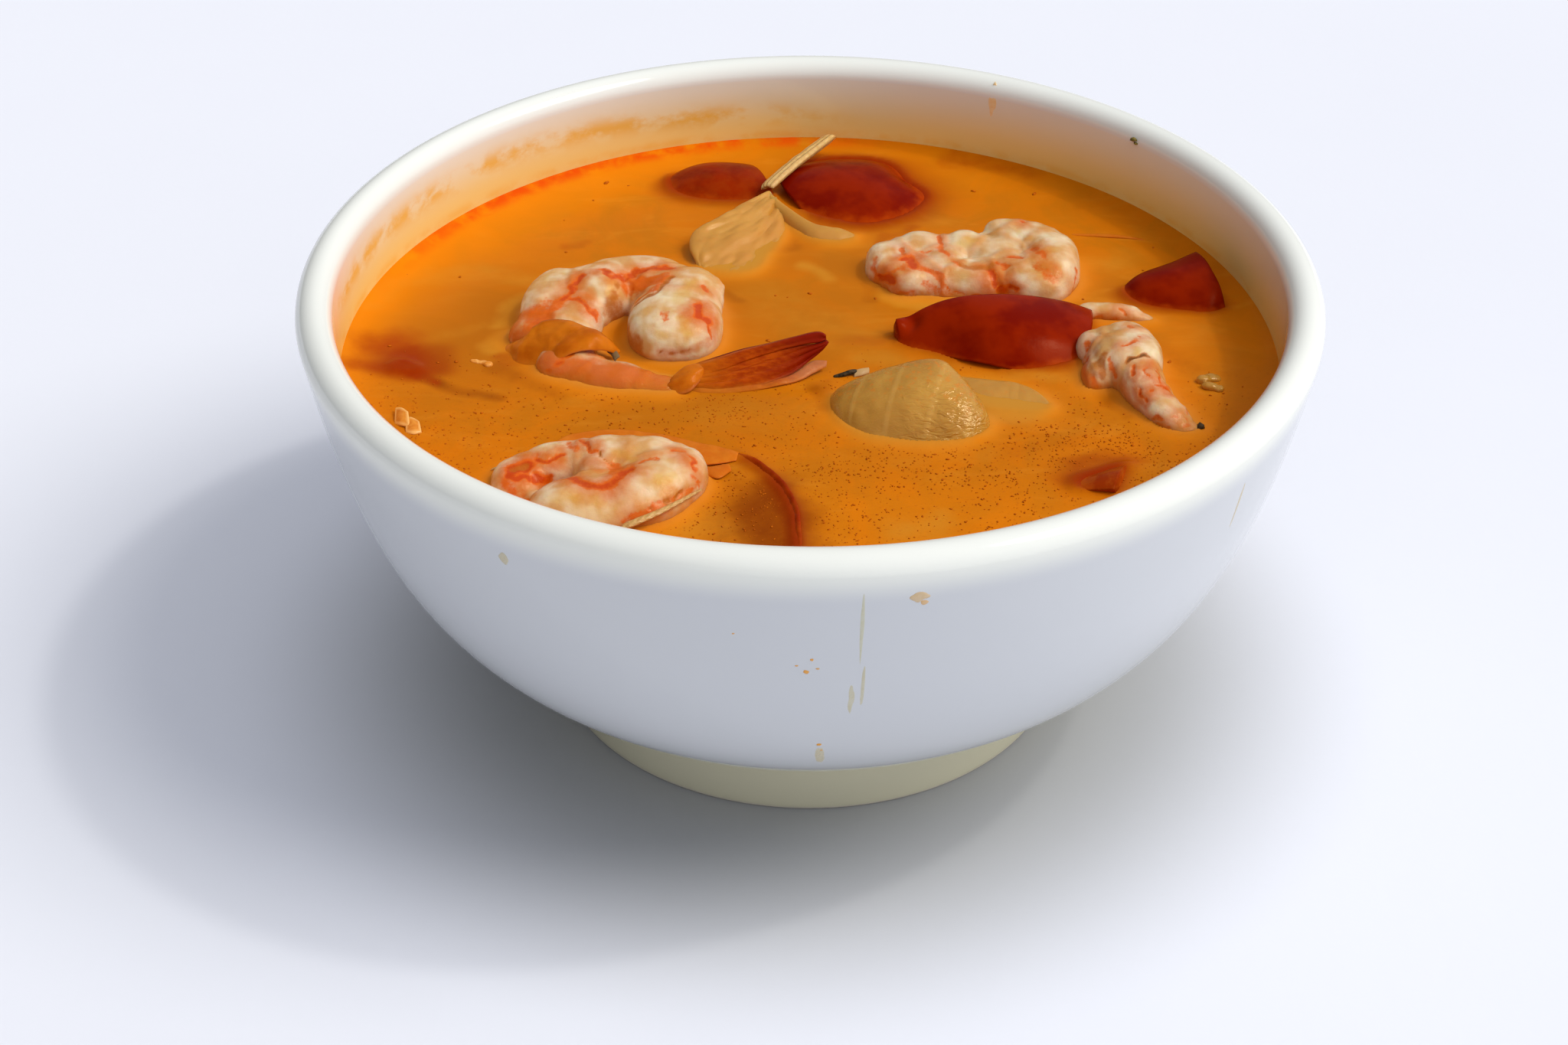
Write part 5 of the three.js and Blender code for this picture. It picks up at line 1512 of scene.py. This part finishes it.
leaves("soup_film", [
    (patch(
        ((-46.7, -40.5, 0.2), (-46.3, -36.3, 0.7), (-43.2, -32.8, 1.0), (-40.7, -31.6, 1.1),
         (-37.8, -28.0, 1.1), (-36.2, -26.1, 0.9), (-31.0, -24.7, 0.9), (-24.0, -25.5, 0.9),
         (-17.5, -27.7, 0.8), (-10.5, -30.1, 0.5)),
        ((-44.7, -41.9, -0.2), (-43.7, -38.1, 0.2), (-40.7, -34.6, 0.4), (-37.5, -32.0, 0.5),
         (-34.8, -30.4, 0.5), (-30.8, -29.8, 0.5), (-23.8, -30.3, 0.5), (-17.3, -33.3, 0.4),
         (-15.0, -33.6, 0.3), (-10.8, -32.2, 0.2)),
        bulge=0.15, thickness=0.25, wave=0.12, seed=96, rows=120, columns=30),
     {"mark": lambda u, v: 0.9 * smoothstep(0.9, 1, v) * smoothstep(0.8, 0.9, u)}),
    (patch(
        ((-15.6, -34.2, 0.3), (-13.9, -33.9, 0.5), (-11.9, -33.5, 0.4)),
        ((-15.3, -36.1, 0.1), (-13.4, -37.2, 0.3), (-11.5, -35.1, 0.2)),
        bulge=0.2, thickness=0.25, wave=0.12, seed=97, rows=40, columns=20),
     {"mark": 0.2}),
], FILM, "broth")
inner_face = np.array([(BROTH_RADIUS, BROTH_LEVEL), (RIM_RADIUS - 2 * BEAD_RADIUS, RIM_TOP - BEAD_RADIUS),
                       (RIM_RADIUS - 1.7 * BEAD_RADIUS, RIM_TOP - 0.8)])
spills("outer_spills", OUTER_SPILLS, outer_wall(), 1, SPILL, 71)
spills("inner_spills", INNER_SPILLS, inner_face, -1, RUN, 72)
grains("herb_speck", [(55.1, 49.6, 72.4), (55.5, 49.3, 71.8)], [1.3, 0.9], HERB, seed=88, squash=0.6)

# ------------------------------------------------------------------ floor, light and camera

FLOOR = 6  # metres from the middle of the floor to each side
floor_mesh = bpy.data.meshes.new("floor")
floor_mesh.from_pydata([(x * FLOOR, y * FLOOR, 0) for x, y in ((-1, -1), (1, -1), (1, 1), (-1, 1))],
                       [], [(0, 1, 2, 3)])
floor = bpy.data.objects.new("floor", floor_mesh)
bpy.context.scene.collection.objects.link(floor)
table = Surface("floor", Roughness=0.9, Specular_IOR_Level=0.1)
squares = [table.maths("POWER", table.axis(which), 2.0) for which in "XY"]
from_bowl = table.maths("SQRT", table.maths("ADD", *squares))
pale = table.mix(table.noise(60), (0.80, 0.815, 0.86), (0.82, 0.835, 0.88))
# painted shade: greyer under the bowl, where the real one stands on its plate in shadow
table.colour(table.mix(table.step(from_bowl, 0.050, 0.100), (0.42, 0.425, 0.42), pale))
table.bumps((table.noise(2.0), 0.02))
floor_mesh.materials.append(table.material)

# a sky that is brightest on the side of the suns
world = bpy.data.worlds.new("studio")
world.use_nodes = True
sky = world.node_tree
facing = sky.nodes.new("ShaderNodeVectorMath")
facing.operation = "DOT_PRODUCT"
facing.inputs[1].default_value = Vector((0.62, -0.35, 0.70)).normalized()
sky.links.new(sky.nodes.new("ShaderNodeTexCoord").outputs["Generated"], facing.inputs[0])
glow = sky.nodes.new("ShaderNodeMapRange")
glow.interpolation_type = "SMOOTHSTEP"
for name, value in {"From Min": -0.7, "From Max": 1.0, "To Min": 0.03, "To Max": 0.86}.items():
    glow.inputs[name].default_value = value
sky.links.new(facing.outputs["Value"], glow.inputs["Value"])
sky.links.new(glow.outputs[0], sky.nodes["Background"].inputs["Strength"])
sky.nodes["Background"].inputs["Color"].default_value = (0.93, 0.96, 1.06, 1)
bpy.context.scene.world = world

# a broad soft sun, and a small one from the same side for the glints on what is wet
for name, energy, angle, toward in (("key", 1.65, 32, (0.64, -0.12, 0.76)),
                                    ("spark", 0.42, 3.5, (0.56, 0.0, 0.83))):
    sun = bpy.data.lights.new(name, "SUN")
    sun.energy = energy
    sun.angle = math.radians(angle)
    sun.color = (1.0, 0.97, 0.93)
    lamp = bpy.data.objects.new(name, sun)
    lamp.rotation_euler = Vector(toward).to_track_quat("Z", "Y").to_euler()
    bpy.context.scene.collection.objects.link(lamp)

# the camera, as worked out from the rim, the waterline and the foot in the photo
CAMERA_PLACE = (0, -0.398480, 0.297312)
CAMERA_YAW, CAMERA_PITCH, CAMERA_ROLL = -0.0100018, 0.5967980, 0.00164165  # pitch is downwards
FOCAL_LENGTH, PHOTO_WIDTH = 3800, 2048  # in pixels of the photo
SENSOR = 36
forward = Vector((math.sin(CAMERA_YAW) * math.cos(CAMERA_PITCH),
                  math.cos(CAMERA_YAW) * math.cos(CAMERA_PITCH), -math.sin(CAMERA_PITCH)))
right = forward.cross(-DOWN).normalized()
above = right.cross(forward)
rolled_right = right * math.cos(CAMERA_ROLL) + above * math.sin(CAMERA_ROLL)
rolled_above = above * math.cos(CAMERA_ROLL) - right * math.sin(CAMERA_ROLL)
camera_data = bpy.data.cameras.new("camera")
camera_data.sensor_width = SENSOR
camera_data.lens = SENSOR * FOCAL_LENGTH / PHOTO_WIDTH
camera_data.clip_start = 0.01
camera = bpy.data.objects.new("camera", camera_data)
camera.matrix_world = Matrix.Translation(CAMERA_PLACE) @ Matrix(
    (rolled_right, rolled_above, -forward)).transposed().to_4x4()
bpy.context.scene.collection.objects.link(camera)
bpy.context.scene.camera = camera
bpy.context.scene.view_settings.view_transform = "Standard"
